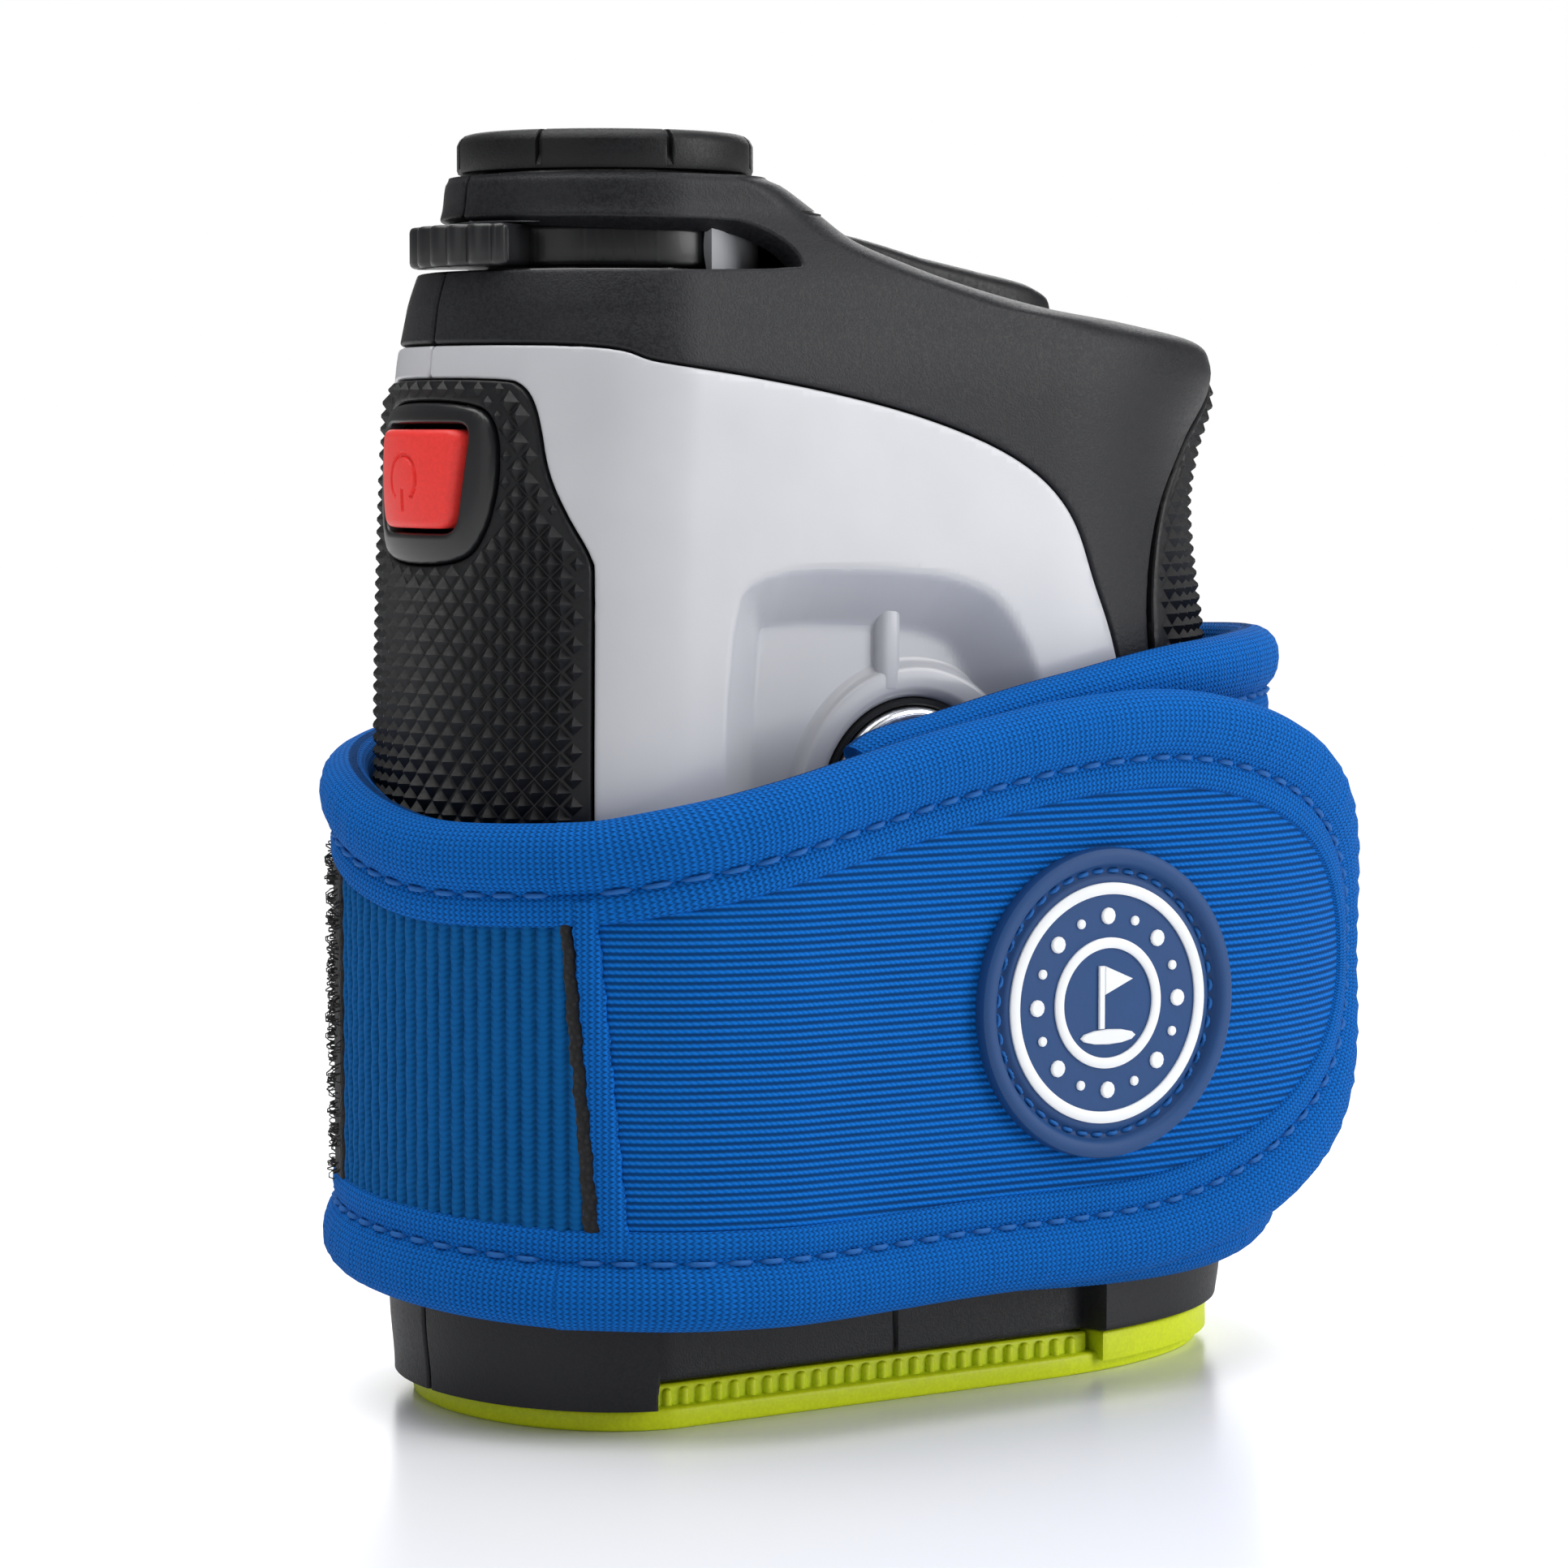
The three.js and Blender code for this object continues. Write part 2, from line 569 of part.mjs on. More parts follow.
// ---------------------------------------------------------------- eyepiece
function eyecup() {
  let cup = turned(
    [
      [TUBE_R + 0.4, COLLAR_TOP + GAP],
      [EYECUP_R, COLLAR_TOP + GAP],
      [EYECUP_R, EYECUP_TOP - 0.9],
      [EYECUP_R - 0.8, EYECUP_TOP],
      [TUBE_R - 0.2, EYECUP_TOP],
      [TUBE_R - 1.3, EYECUP_TOP - 2.4],
      [TUBE_R - 1.3, COLLAR_TOP + 0.5],
      [TUBE_R + 0.4, COLLAR_TOP + 0.5],
      [TUBE_R + 0.4, COLLAR_TOP + GAP],
    ],
    EYE_X,
    32,
  );
  for (let i = 0; i < EYECUP_NOTCHES; i++) {
    const a = THREE.MathUtils.degToRad(EYECUP_FIRST_NOTCH) + (i * 2 * Math.PI) / EYECUP_NOTCHES;
    const cut = new THREE.BoxGeometry(0.8, 1.1, 4).translate(EYECUP_R, 0, 0).rotateZ(a);
    cup = cup.subtract(solid(cut.translate(EYE_X, 0, COLLAR_TOP + 3.1)));
  }
  return cup;
}

function modeLever() {
  const low = (SLOT_LOW + SLOT_HIGH - LEVER_THICK) / 2 - 0.15;
  const fan = THREE.MathUtils.degToRad(LEVER_HALF_ANGLE);
  const points = [];
  const steps = LEVER_SCALLOPS * 4;
  for (let i = 0; i <= steps; i++) {
    const t = i / steps;
    const dip = 0.55 * (1 - Math.abs(Math.cos(Math.PI * LEVER_SCALLOPS * t)));
    const corner = Math.min(1, Math.min(t, 1 - t) * 12);
    const r = LEVER_TAB_R - dip - 1.2 * (1 - corner) ** 2;
    const a = Math.PI - fan + 2 * fan * t;
    points.push([EYE_X + r * Math.cos(a), r * Math.sin(a)]);
  }
  const inner = LEVER_R - 0.8;
  for (let i = 6; i >= 0; i--) {
    const a = Math.PI - fan + (2 * fan * i) / 6;
    points.push([EYE_X + inner * Math.cos(a), inner * Math.sin(a)]);
  }
  const round = ring(LEVER_R, TUBE_R + RUNNING, low, low + LEVER_THICK, EYE_X, 32);
  return round.add(alongZ(points, low, low + LEVER_THICK));
}

// Pale sliding washer under the collar, with a curved stop wall at each end of the slot.
function leverWasher() {
  const [low, high] = [SLOT_HIGH - 0.4, SLOT_HIGH - 0.1];
  const wallTop = SLOT_HIGH - 0.8; // the slot's corners are lower than its middle
  const wallIn = LEVER_R + GAP;
  const wallOut = wallIn + 0.8;
  const cavity = box(STOP_FROM_X, STOP_TO_X, -11.2, 11.2, 0, 120);
  const corners = box(STOP_FROM_X, -12.6, -20, 20, 0, 120);
  const behindStops = box(-60, STOP_FROM_X - 0.1, -20, 20, 0, 120);
  const washer = ring(LEVER_R + 1.2, TUBE_R + RUNNING, low, high, EYE_X, 32).intersect(behindStops);
  const flat = ring(wallOut, TUBE_R + RUNNING, low, high, EYE_X, 32).intersect(cavity);
  const wall = ring(wallOut, wallIn, SLOT_LOW + 0.2, wallTop, EYE_X, 40).intersect(cavity.add(corners));
  const rise = ring(wallOut, wallIn, wallTop - 0.1, high, EYE_X, 40).intersect(cavity);
  const join = ring(LEVER_R - 0.9, TUBE_R + RUNNING, low, high, EYE_X, 32);
  return washer.add(flat).add(join).add(wall).add(rise);
}

// ---------------------------------------------------------------- battery
function batteryCap() {
  const { x, z } = BATTERY;
  const face = RECESS_FLOOR_Y + 1.1;
  const disc = bar(CAP_R, -face, -(RECESS_FLOOR_Y - 1.9), x, z, 28);
  const coin = CAP_R - 3.0;
  return disc.subtract(box(x - coin, x + coin, -30, -face + 0.8, z - 0.7, z + 0.7));
}

function capSeal() {
  const { x, z } = BATTERY;
  const whole = bar(CAP_SEAT_R - 0.05, -RECESS_FLOOR_Y - 0.6, -(RECESS_FLOOR_Y - 1.3), x, z, 28);
  return whole.subtract(bar(CAP_R + 0.08, -30, 0, x, z, 28));
}

const batteryTube = () => {
  const { x, z, r, to } = BATTERY;
  return bar(r + 1.5, -(RECESS_FLOOR_Y - 2.2), to - 1.0, x, z, 28).subtract(bar(r + 0.4, -30, 30, x, z, 28));
};

// ---------------------------------------------------------------- strap
// The strap follows the body's middle section, a little off it. s is the distance along it from the middle
// of the button side, going round by -Y; off is the distance outwards from the body.
const strapRow = rowAt(34);
const STRAP_LOOSE = 0.3;
const strapEnds = {
  back: strapRow.back + strapRow.backLen,
  grip: strapRow.grip - strapRow.gripLen,
};
function strapPath(off) {
  const [a, b] = [strapRow.backLen + off, strapRow.half + off];
  const path = new THREE.Path();
  path.absellipse(strapEnds.back, 0, a, b, Math.PI, 1.5 * Math.PI, false);
  path.absellipse(strapEnds.grip, 0, strapRow.gripLen + off, b, 1.5 * Math.PI, 2.5 * Math.PI, false);
  path.absellipse(strapEnds.back, 0, a, b, 0.5 * Math.PI, Math.PI, false);
  return path;
}
const middlePath = strapPath(2.5 + STRAP_LOOSE);
middlePath.arcLengthDivisions = 800;
const STRAP_LENGTH = middlePath.getLength();

function strapPoint(s, off, z) {
  const u = THREE.MathUtils.euclideanModulo(s / STRAP_LENGTH, 1);
  const p = middlePath.getPointAt(u);
  const t = middlePath.getTangentAt(u);
  return new THREE.Vector3(p.x + t.y * (off - 2.5), p.y - t.x * (off - 2.5), z);
}

// Heights of the strap's edges against distance along it, as smooth curves through a few points.
const through = (points) => {
  const curve = new THREE.SplineCurve(points.map(([s, z]) => new THREE.Vector2(s, z)));
  const dense = curve.getPoints(200);
  return (s) => {
    const i = dense.findIndex((p) => p.x >= s);
    if (i <= 0) return i === 0 ? dense[0].y : dense.at(-1).y;
    const [p, q] = [dense[i - 1], dense[i]];
    return p.y + ((q.y - p.y) * (s - p.x)) / Math.max(q.x - p.x, 1e-6);
  };
};

// Stations along the strap.
const AT = {
  bandTip: 39, // inner end of the band, under the tab
  gripMid: STRAP_LENGTH / 2,
  elasticFrom: STRAP_LENGTH - 6.4,
  elasticTo: STRAP_LENGTH + 16,
  tabFrom: 19,
  lifted: 38, // where the tab has climbed on to the band
  bend: 70, // where the tab's rounded end begins
  tabTip: 105,
};
const bandTop = through([
  [AT.bandTip, 46], [AT.bandTip + 1.5, 51.5], [AT.bandTip + 6.8, 57.3], [54, 59.4], [66.8, 62.2],
  [83, 64.6], [AT.gripMid, 65.2], [AT.gripMid + 50, 62.0], [STRAP_LENGTH - 26, 57.4],
  [STRAP_LENGTH - 10, 54.6], [STRAP_LENGTH, 52.2], [STRAP_LENGTH + 8, 51.0], [STRAP_LENGTH + 20, 51.2],
]);
const bandBottom = through([
  [AT.bandTip, 20], [AT.bandTip + 3, 13.5], [AT.bandTip + 10, 10.2], [83, 8.8], [AT.gripMid, 11.0],
  [AT.gripMid + 50, 12.4], [STRAP_LENGTH - 30, 12.4], [STRAP_LENGTH, 10.6], [STRAP_LENGTH + 20, 9.5],
]);
const tabTop = through([
  [AT.tabFrom, 51.2],
  [22.5, 51.5],
  [29.5, 53.0],
  [37.7, 55.0],
  [54, 58.7],
  [71, 60.9],
  [106, 62.0],
]);
const tabBottom = through([[AT.tabFrom, 9.5], [37.7, 9.5], [54, 10.1], [71, 10.5], [106, 12.5]]);

// Height of the tab's upper or lower edge, moved in by inset; the far end is rounded.
function tabEdge(s, inset, side) {
  const middle = 35.6;
  const reach = (side > 0 ? tabTop(s) : tabBottom(s)) - side * inset - middle;
  const t = Math.min(1, Math.max(0, (s - AT.bend) / (AT.tabTip - inset - AT.bend)));
  return middle + reach * Math.sqrt(Math.max(0.015, 1 - t * t));
}

const eased = (t) => {
  const u = Math.min(1, Math.max(0, t));
  return u * u * (3 - 2 * u);
};
// How far the tab's inner face stands off the strap's inner face: it climbs the band, and its
// tip stands away.
const tabLift = (s) =>
  TAB.lift * eased((s - AT.tabFrom - 1) / (AT.lifted - AT.tabFrom - 1)) +
  TAB.tipLift * eased((s - AT.bend) / (AT.tabTip - AT.bend));

// A length of strap from s0 to s1, between the edges low(s) and high(s) and the offsets off0 and off1.
function strapPiece(s0, s1, low, high, off0, off1, steps, lift = () => 0) {
  const rings = [];
  for (let i = 0; i <= steps; i++) {
    const s = s0 + ((s1 - s0) * i) / steps;
    rings.push([
      strapPoint(s, off0 + lift(s), low(s)),
      strapPoint(s, off1 + lift(s), low(s)),
      strapPoint(s, off1 + lift(s), high(s)),
      strapPoint(s, off0 + lift(s), high(s)),
    ]);
  }
  return skinned(rings);
}

const { inner, panel, edge, hem, loops } = STRAP;
const hemTop = (s) => bandTop(s) - hem;
const hemBottom = (s) => bandBottom(s) + hem;

function strapBand() {
  const from = AT.bandTip + 9;
  const low = (s) => hemBottom(s) + GAP;
  const high = (s) => hemTop(s) - GAP;
  let band = strapPiece(from, AT.elasticFrom, low, high, inner + 0.3, panel, 44);
  for (const x of MAGNETS) band = band.subtract(bar(MAGNET_R + GAP, 0, BODY_HALF + panel - 0.6, x, 35, 24));
  return band;
}
const MAGNETS = [-12, 14];
const MAGNET_R = 9.5;

function bandBinding(high) {
  const [low, top] = high ? [hemTop, bandTop] : [bandBottom, hemBottom];
  return strapPiece(AT.bandTip, AT.elasticTo + 1.6, low, top, inner, edge, 52);
}

function tabPiece(inset, off0, off1, from = AT.tabFrom) {
  return strapPiece(
    from,
    AT.tabTip - inset,
    (s) => tabEdge(s, inset, -1),
    (s) => tabEdge(s, inset, 1),
    off0,
    off1,
    32,
    tabLift,
  );
}

// ---------------------------------------------------------------- the object
const MATERIALS = {
  black: { color: 0x3b3d42, roughness: 0.62 },
  gloss: { color: 0x0b0b0d, roughness: 0.18 },
  grey: { color: 0xc4c5ca, roughness: 0.35 },
  rubber: { color: 0x2b2d31, roughness: 0.75 },
  red: { color: 0xe8322e, roughness: 0.55 },
  lime: { color: 0xc5da18, roughness: 0.45 },
  glass: { color: 0x9fb6c8, roughness: 0.05 },
  metal: { color: 0xd8d9dc, roughness: 0.2, metalness: 1.0 },
  board: { color: 0x1f6b3a, roughness: 0.6 },
  pale: { color: 0xa5a6ab, roughness: 0.5 },
  blue: { color: 0x0f52b5, roughness: 0.9 },
  elastic: { color: 0x1a66b0, roughness: 0.9 },
  loops: { color: 0x101012, roughness: 1.0 },
  soft: { color: 0x2458a4, roughness: 0.5 },
  white: { color: 0xf0f1f3, roughness: 0.5 },
};

const object = new THREE.Group();
function place(name, material, shape) {
  const mesh = new THREE.Mesh(geometryOf(shape), new THREE.MeshStandardMaterial(MATERIALS[material]));
  mesh.name = name;
  object.add(mesh);
}

// Casings and grips
place("housing_left", "black", housing(-1));
place("housing_right", "black", housing(1));
place("faceplate_left", "grey", faceplate(-1));
place("faceplate_right", "grey", faceplate(1));
place("top_grip_pad", "rubber", topPad());
place("finger_grip_pad", "rubber", underPad());
place("button_surround", "black", buttonSurround());
place("rear_spine_cover", "rubber", rearSpineBlock(0));
place("front_bezel", "lime", frontBezel());
SCREWS.forEach(([x, z], i) => {
  const head = bar(BOSS.head - 0.3, -HEAD_Y - 0.9, -HEAD_Y, x, z, 12);
  const screw = head.add(bar(1.0, -HEAD_Y - 0.2, 9.5, x, z, 12));
  place(`housing_screw_${i + 1}`, "metal", screw);
});

// Fire button and its switch
place("fire_button", "red", fireButton());
place("switch_plunger", "black", box(-31.6, -30.5, -1.1, 1.1, BUTTON_Z - 1.1, BUTTON_Z + 1.1));
place("fire_switch", "gloss", box(-29.4, -28.6, -2.6, 2.6, BUTTON_Z - 2.6, BUTTON_Z + 2.6));
place("switch_board", "board", box(-28.5, -27.7, -6, 6, BUTTON_Z - 7, BUTTON_Z + 7));

// Monocular: objective, prism, display and eyepiece on one axis
place("objective_barrel", "black", ring(OBJECTIVE_R + 1.3, OBJECTIVE_R - 0.1, 2.3, 36, EYE_X).add(
  turned([[OBJECTIVE_R - 0.2, 34.6], [OBJECTIVE_R + 1.3, 36], [8.4, 40], [8.4, 52],
    [7.2, 52], [7.2, 39.4], [OBJECTIVE_R - 0.2, 34.6]], EYE_X)));
place("objective_lens", "glass", lens(EYE_X, 4.6, OBJECTIVE_R - 0.3, 1.6, 1.0, 1.2));
place("prism_housing", "black",
  box(EYE_X - 8.2, EYE_X + 8.2, -9.4, 9.4, 53, 78).subtract(box(EYE_X - 7.2, EYE_X + 7.2, -8.4, 10, 54, 77))
    .subtract(post(6.5, 50, 80, EYE_X)));
place("roof_prism", "glass",
  alongY([[EYE_X - 6.8, 55], [EYE_X + 6.8, 55], [EYE_X + 6.8, 66], [EYE_X + 2, 76],
    [EYE_X - 6.8, 76]], -7.8, 7.8));
place("display_panel", "glass", box(EYE_X - 6.5, EYE_X + 6.5, -6.5, 6.5, 80.0, 81.4));
place("receiver_diode", "metal", bar(2.6, 10.2, 13.4, EYE_X, 60, 16));
place("eyepiece_tube", "gloss", ring(TUBE_R, TUBE_R - TUBE_WALL, 92, COLLAR_TOP + 0.1, EYE_X, 32).add(
  ring(TUBE_R, TUBE_R - 3.2, 91, 92.2, EYE_X, 32)));
place("eyepiece_cell", "gloss", ring(TUBE_R - TUBE_WALL - RUNNING, TUBE_R - 2.5, 94.6, 102.6, EYE_X, 28));
place("eye_lens", "glass", lens(EYE_X, 101.0, TUBE_R - 2.7, 1.0, 0.8, 0.8));
place("field_lens", "glass", lens(EYE_X, 97.0, TUBE_R - 2.7, 1.0, 0.8, 0.6));
place("eyecup", "black", eyecup());
place("mode_lever", "rubber", modeLever());
place("lever_washer", "pale", leverWasher());

// Laser and electronics
place("laser_barrel", "black", ring(LASER_R + 1.3, LASER_R - 0.1, 2.3, 40, LASER_X));
place("laser_lens", "glass", lens(LASER_X, 4.4, LASER_R - 0.3, 1.4, 0.8, 1.0));
place("laser_diode", "metal", post(4.0, 36.5, 40.9, LASER_X, 0, 20));
place("laser_board", "board", box(LASER_X - 8, LASER_X + 8, -8, 8, 41.2, 42.4));
place("main_board", "board", box(-7, 24, 8.0, 9.2, 62, 73));
place("battery_tube", "black", batteryTube());
place("battery_cell", "metal", bar(BATTERY.r, BATTERY.from, BATTERY.to, BATTERY.x, BATTERY.z, 28));
place("battery_contact", "metal", contactBlock(0, 0.15));
place("battery_cap", "metal", batteryCap());
place("cap_seal", "rubber", capSeal());

// Strap
place("strap_band", "blue", strapBand());
place("strap_loop_panel", "loops",
  strapPiece(AT.bandTip + 10, AT.elasticFrom - 0.6, (s) => hemBottom(s) + 0.6,
    (s) => hemTop(s) - 0.6, panel + 0.08, panel + loops, 44));
place("strap_elastic", "elastic",
  strapPiece(AT.elasticFrom + GAP, AT.elasticTo, (s) => hemBottom(s) + GAP,
    (s) => hemTop(s) - GAP, inner + 0.8, panel, 14));
place("band_binding_top", "blue", bandBinding(true));
place("band_binding_bottom", "blue", bandBinding(false));
MAGNETS.forEach((x, i) => {
  place(
    `strap_magnet_${i + 1}`,
    "metal",
    bar(MAGNET_R, BODY_HALF + inner + 0.6, BODY_HALF + panel - 0.9, x, 35, 24),
  );
});
place("strap_tab", "blue", tabPiece(hem + GAP, inner + 1.3, inner + TAB.thick, AT.tabFrom + 0.3));
place("tab_hook_tape", "loops", tabPiece(hem + 1.2, inner + 0.1, inner + 1.0, AT.lifted + 2));
place("tab_binding", "blue",
  tabPiece(0, inner, inner + TAB.edge)
    .subtract(tabPiece(hem, inner - 2, inner + TAB.edge + 2, AT.tabFrom - 5)));
const PATCH = { x: 14.6, z: 34.4 };
const patchY = -(BODY_HALF + inner + TAB.lift + TAB.thick + STRAP_LOOSE + 0.8);
const patchDisc = (r, y0, y1) => bar(r, patchY + y0, patchY + y1, PATCH.x, PATCH.z, 36);
place("strap_patch", "soft", patchDisc(PATCH_R, -1.9, 0).subtract(patchDisc(PATCH_R - 1.4, -3, -1.3)));
place("patch_ring", "white", patchDisc(10.3, -2.2, -1.35).subtract(patchDisc(9.2, -3, -1)));
place("patch_inner_ring", "white", patchDisc(5.6, -2.2, -1.35).subtract(patchDisc(4.7, -3, -1)));

export default object;
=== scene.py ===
import math

import bmesh
import bpy
import numpy as np
from bpy.props import FloatProperty, FloatVectorProperty, IntProperty, PointerProperty
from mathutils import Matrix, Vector


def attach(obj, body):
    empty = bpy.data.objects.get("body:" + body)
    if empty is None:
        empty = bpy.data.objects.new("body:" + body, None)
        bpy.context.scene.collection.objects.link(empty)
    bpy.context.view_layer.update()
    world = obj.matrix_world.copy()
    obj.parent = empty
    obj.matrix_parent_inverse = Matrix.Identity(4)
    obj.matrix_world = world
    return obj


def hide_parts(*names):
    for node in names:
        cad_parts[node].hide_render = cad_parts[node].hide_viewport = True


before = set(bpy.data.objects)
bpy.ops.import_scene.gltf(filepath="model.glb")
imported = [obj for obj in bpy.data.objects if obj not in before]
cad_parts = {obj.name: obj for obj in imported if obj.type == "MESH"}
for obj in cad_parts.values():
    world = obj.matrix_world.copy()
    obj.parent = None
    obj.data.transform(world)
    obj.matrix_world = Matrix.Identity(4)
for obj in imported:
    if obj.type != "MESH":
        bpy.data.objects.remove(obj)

bl_info = {
    "name": "Laser rangefinder with strap",
    "version": (1, 0, 0),
    "blender": (4, 5, 0),
    "location": "View3D > Sidebar > Rangefinder",
    "description": "Builds a pocket laser rangefinder and its hook-and-loop strap on the packed frame",
    "category": "Add Mesh",
}

MM = 0.001

# ---------------------------------------------------------------- the body's section, one row per height
# height, back reach, length of the back end, half width, grip reach, length of the grip end
BODY_ROWS = np.array([
    [2.0, -36.0, 14.5, 19.0, 44.6, 29.0],
    [8.0, -36.5, 14.7, 19.0, 45.5, 30.0],
    [30.0, -36.8, 15.0, 19.0, 45.0, 29.5],
    [52.0, -36.8, 15.0, 19.0, 43.4, 28.0],
    [65.0, -36.6, 15.0, 19.0, 41.5, 26.5],
    [76.0, -36.2, 15.0, 19.0, 39.8, 25.0],
    [82.0, -35.9, 15.0, 19.0, 41.0, 26.0],
    [86.5, -35.6, 15.0, 18.9, 43.2, 27.5],
    [89.0, -35.4, 15.0, 18.6, 43.4, 26.5],
    [91.0, -35.1, 15.0, 18.1, 41.0, 22.5],
    [92.5, -34.9, 15.0, 17.6, 32.5, 17.0],
    [93.7, -34.7, 15.0, 17.3, 23.5, 14.5],
    [95.7, -34.1, 14.8, 16.7, 13.4, 11.0],
    [97.7, -33.4, 14.4, 15.8, 6.7, 10.0],
    [99.2, -32.8, 14.1, 15.0, 2.6, 9.0],
    [101.4, -32.2, 13.9, 13.9, -0.4, 9.0],
    [103.6, -31.9, 13.6, 13.6, -3.9, 9.0],
    [104.3, -31.6, 13.3, 13.3, -5.6, 8.6],
])
BODY_LOW, BODY_HIGH = 2.0, 104.3
EYE_X, LASER_X = -18.3, 19.0  # axes of the eyepiece with its objective, and of the laser
SEAM = 0.17  # half the gap between neighbouring casing pieces


def rows_at(z):
    """Back reach, back length, half width, grip reach and grip length at each height: a smooth curve."""
    rows, z = BODY_ROWS, np.asarray(z, float)
    heights = rows[:, 0]
    slope = np.zeros((len(rows), 5))
    slope[1:-1] = (rows[2:, 1:] - rows[:-2, 1:]) / (heights[2:] - heights[:-2])[:, None]
    i = np.clip(np.searchsorted(heights, z, side="right") - 1, 0, len(rows) - 2)
    span = heights[i + 1] - heights[i]
    t = np.clip((z - heights[i]) / span, 0, 1)[..., None]
    m0, m1 = slope[i] * span[..., None], slope[i + 1] * span[..., None]
    return (
        (2 * t**3 - 3 * t**2 + 1) * rows[i, 1:]
        + (t**3 - 2 * t**2 + t) * m0
        + (3 * t**2 - 2 * t**3) * rows[i + 1, 1:]
        + (t**3 - t**2) * m1
    )


def body_point(u, z):
    """A point on the body. u runs 0 to 1 round the back, 1 to 2 along the near side, 2 to 3 round the
    grip, and 3 to 4 along the far side."""
    u, z = np.broadcast_arrays(np.mod(u, 4.0), np.asarray(z, float))
    back, back_len, half, grip, grip_len = np.moveaxis(rows_at(z), -1, 0)
    back_mid, grip_mid = back + back_len, grip - grip_len
    part = np.floor(u)
    t = u - part
    turn = np.where(part == 0, np.pi * (0.5 + t), np.pi * (t - 0.5))
    along = back_mid + (grip_mid - back_mid) * np.where(part == 1, t, 1 - t)
    x = np.select(
        [part == 0, part == 2],
        [back_mid + back_len * np.cos(turn), grip_mid + grip_len * np.cos(turn)],
        along,
    )
    y = np.select([part == 1, part == 3], [-half, half], half * np.sin(turn))
    return np.stack([x, y, z], -1)


def body_frame(u, z):
    """The point on the body and its outward normal."""
    e = 1e-3
    point = body_point(u, z)
    around = body_point(u + e, z) - body_point(u - e, z)
    up = body_point(u, np.minimum(z + e, BODY_HIGH)) - body_point(u, np.maximum(z - e, BODY_LOW))
    normal = np.cross(around, up)
    return point, normal / np.maximum(np.linalg.norm(normal, axis=-1, keepdims=True), 1e-12)


# ---------------------------------------------------------------- outlines and distances
def smooth_loop(points, times=3):
    """A closed outline with its corners rounded off."""
    p = np.asarray(points, float)
    for _ in range(times):
        q = np.roll(p, -1, 0)
        p = np.stack([0.75 * p + 0.25 * q, 0.25 * p + 0.75 * q], 1).reshape(-1, 2)
    return p


def inside_distance(points, outline):
    """Distance from each point to the outline, above zero inside it."""
    p = np.asarray(points, float)[:, None, :]
    a, b = outline[None], np.roll(outline, -1, 0)[None]
    best = np.full(len(p), 1e9)
    crossings = np.zeros(len(p), int)
    for start in range(0, len(p), 20000):
        q = p[start:start + 20000]
        ab, aq = b - a, q - a
        t = np.clip((aq * ab).sum(-1) / np.maximum((ab * ab).sum(-1), 1e-12), 0, 1)
        best[start:start + 20000] = np.sqrt(((aq - t[..., None] * ab) ** 2).sum(-1)).min(1)
        low, high = a[..., 1] <= q[..., 1], b[..., 1] > q[..., 1]
        side = ab[..., 0] * aq[..., 1] - ab[..., 1] * aq[..., 0]
        crossings[start:start + 20000] = ((low & high & (side > 0)).sum(1)
                                          - (~low & ~high & (side < 0)).sum(1))
    return np.where(crossings != 0, best, -best)


def mirrored(half):
    """A closed outline from its right half, listed from the top down."""
    half = np.asarray(half, float)
    return np.vstack([half, (half * [-1, 1])[::-1]])


FACE_POINTS = np.array([
    [-60, 90.0], [-31, 90.0], [-24, 88.6], [-16, 87.5], [-8, 86.2], [0, 84.5], [7, 82.4], [12, 80.2],
    [15.5, 77.7], [18, 74.6], [20, 70.0], [22.8, 63.3], [26, 50], [28, 35], [28.5, 13],
])


def flowing(points, steps=8):
    """A smooth line through every point."""
    p = np.asarray(points, float)
    out = []
    for i in range(len(p) - 1):
        p0, p1, p2, p3 = p[max(i - 1, 0)], p[i], p[i + 1], p[min(i + 2, len(p) - 1)]
        for t in np.linspace(0, 1, steps, endpoint=False):
            out.append(0.5 * (2 * p1 + (p2 - p0) * t + (2 * p0 - 5 * p1 + 4 * p2 - p3) * t**2
                              + (3 * p1 - p0 - 3 * p2 + p3) * t**3))
    return np.array(out + [p[-1]])


FACE = np.vstack([flowing(FACE_POINTS), [[-60, 13]]])
TOP_PAD = mirrored([
    [9.4, 87.3], [11.0, 86.6], [11.9, 85.2], [12.5, 83.0], [13.1, 79.5], [14.6, 75.8], [15.8, 73.2],
    [16.3, 71.2], [16.3, 13.0],
])
FINGER_PAD = mirrored([
    [4.5, 88.2], [8.6, 86.8], [11.6, 83.6], [13.3, 80.6], [14.9, 77.0], [15.9, 73.4], [16.5, 69.2],
    [16.7, 65.0], [16.5, 58.0], [14.6, 20.0], [13.0, 13.0],
])
ISLAND = mirrored([[6.6, 85.4], [9.0, 83.6], [9.4, 79.0], [8.4, 74.6], [6.0, 71.8]])
RECESS = np.array([
    [-19.0, 30.0], [-18.6, 67.5], [-15.0, 72.2], [2.3, 71.6], [8.2, 70.0], [11.0, 68.0], [14.4, 62.5],
    [16.4, 50.0], [16.4, 30.0], [12.0, 26.0], [-15.0, 26.0],
])
SLOT_LOW, SLOT_HIGH = 96.3, 100.7  # floor and roof of the mode lever's slot
SLOT = np.array([
    [-60, SLOT_LOW], [-9.0, SLOT_LOW], [-8.8, 97.6], [-10.0, 99.0], [-12.4, 100.2], [-15.0, SLOT_HIGH],
    [-60, SLOT_HIGH],
])
NOTCH = (-24.6, 21.7, 2.4, 11.0)  # from x, to x, depth, height of the recessed sides of the front end


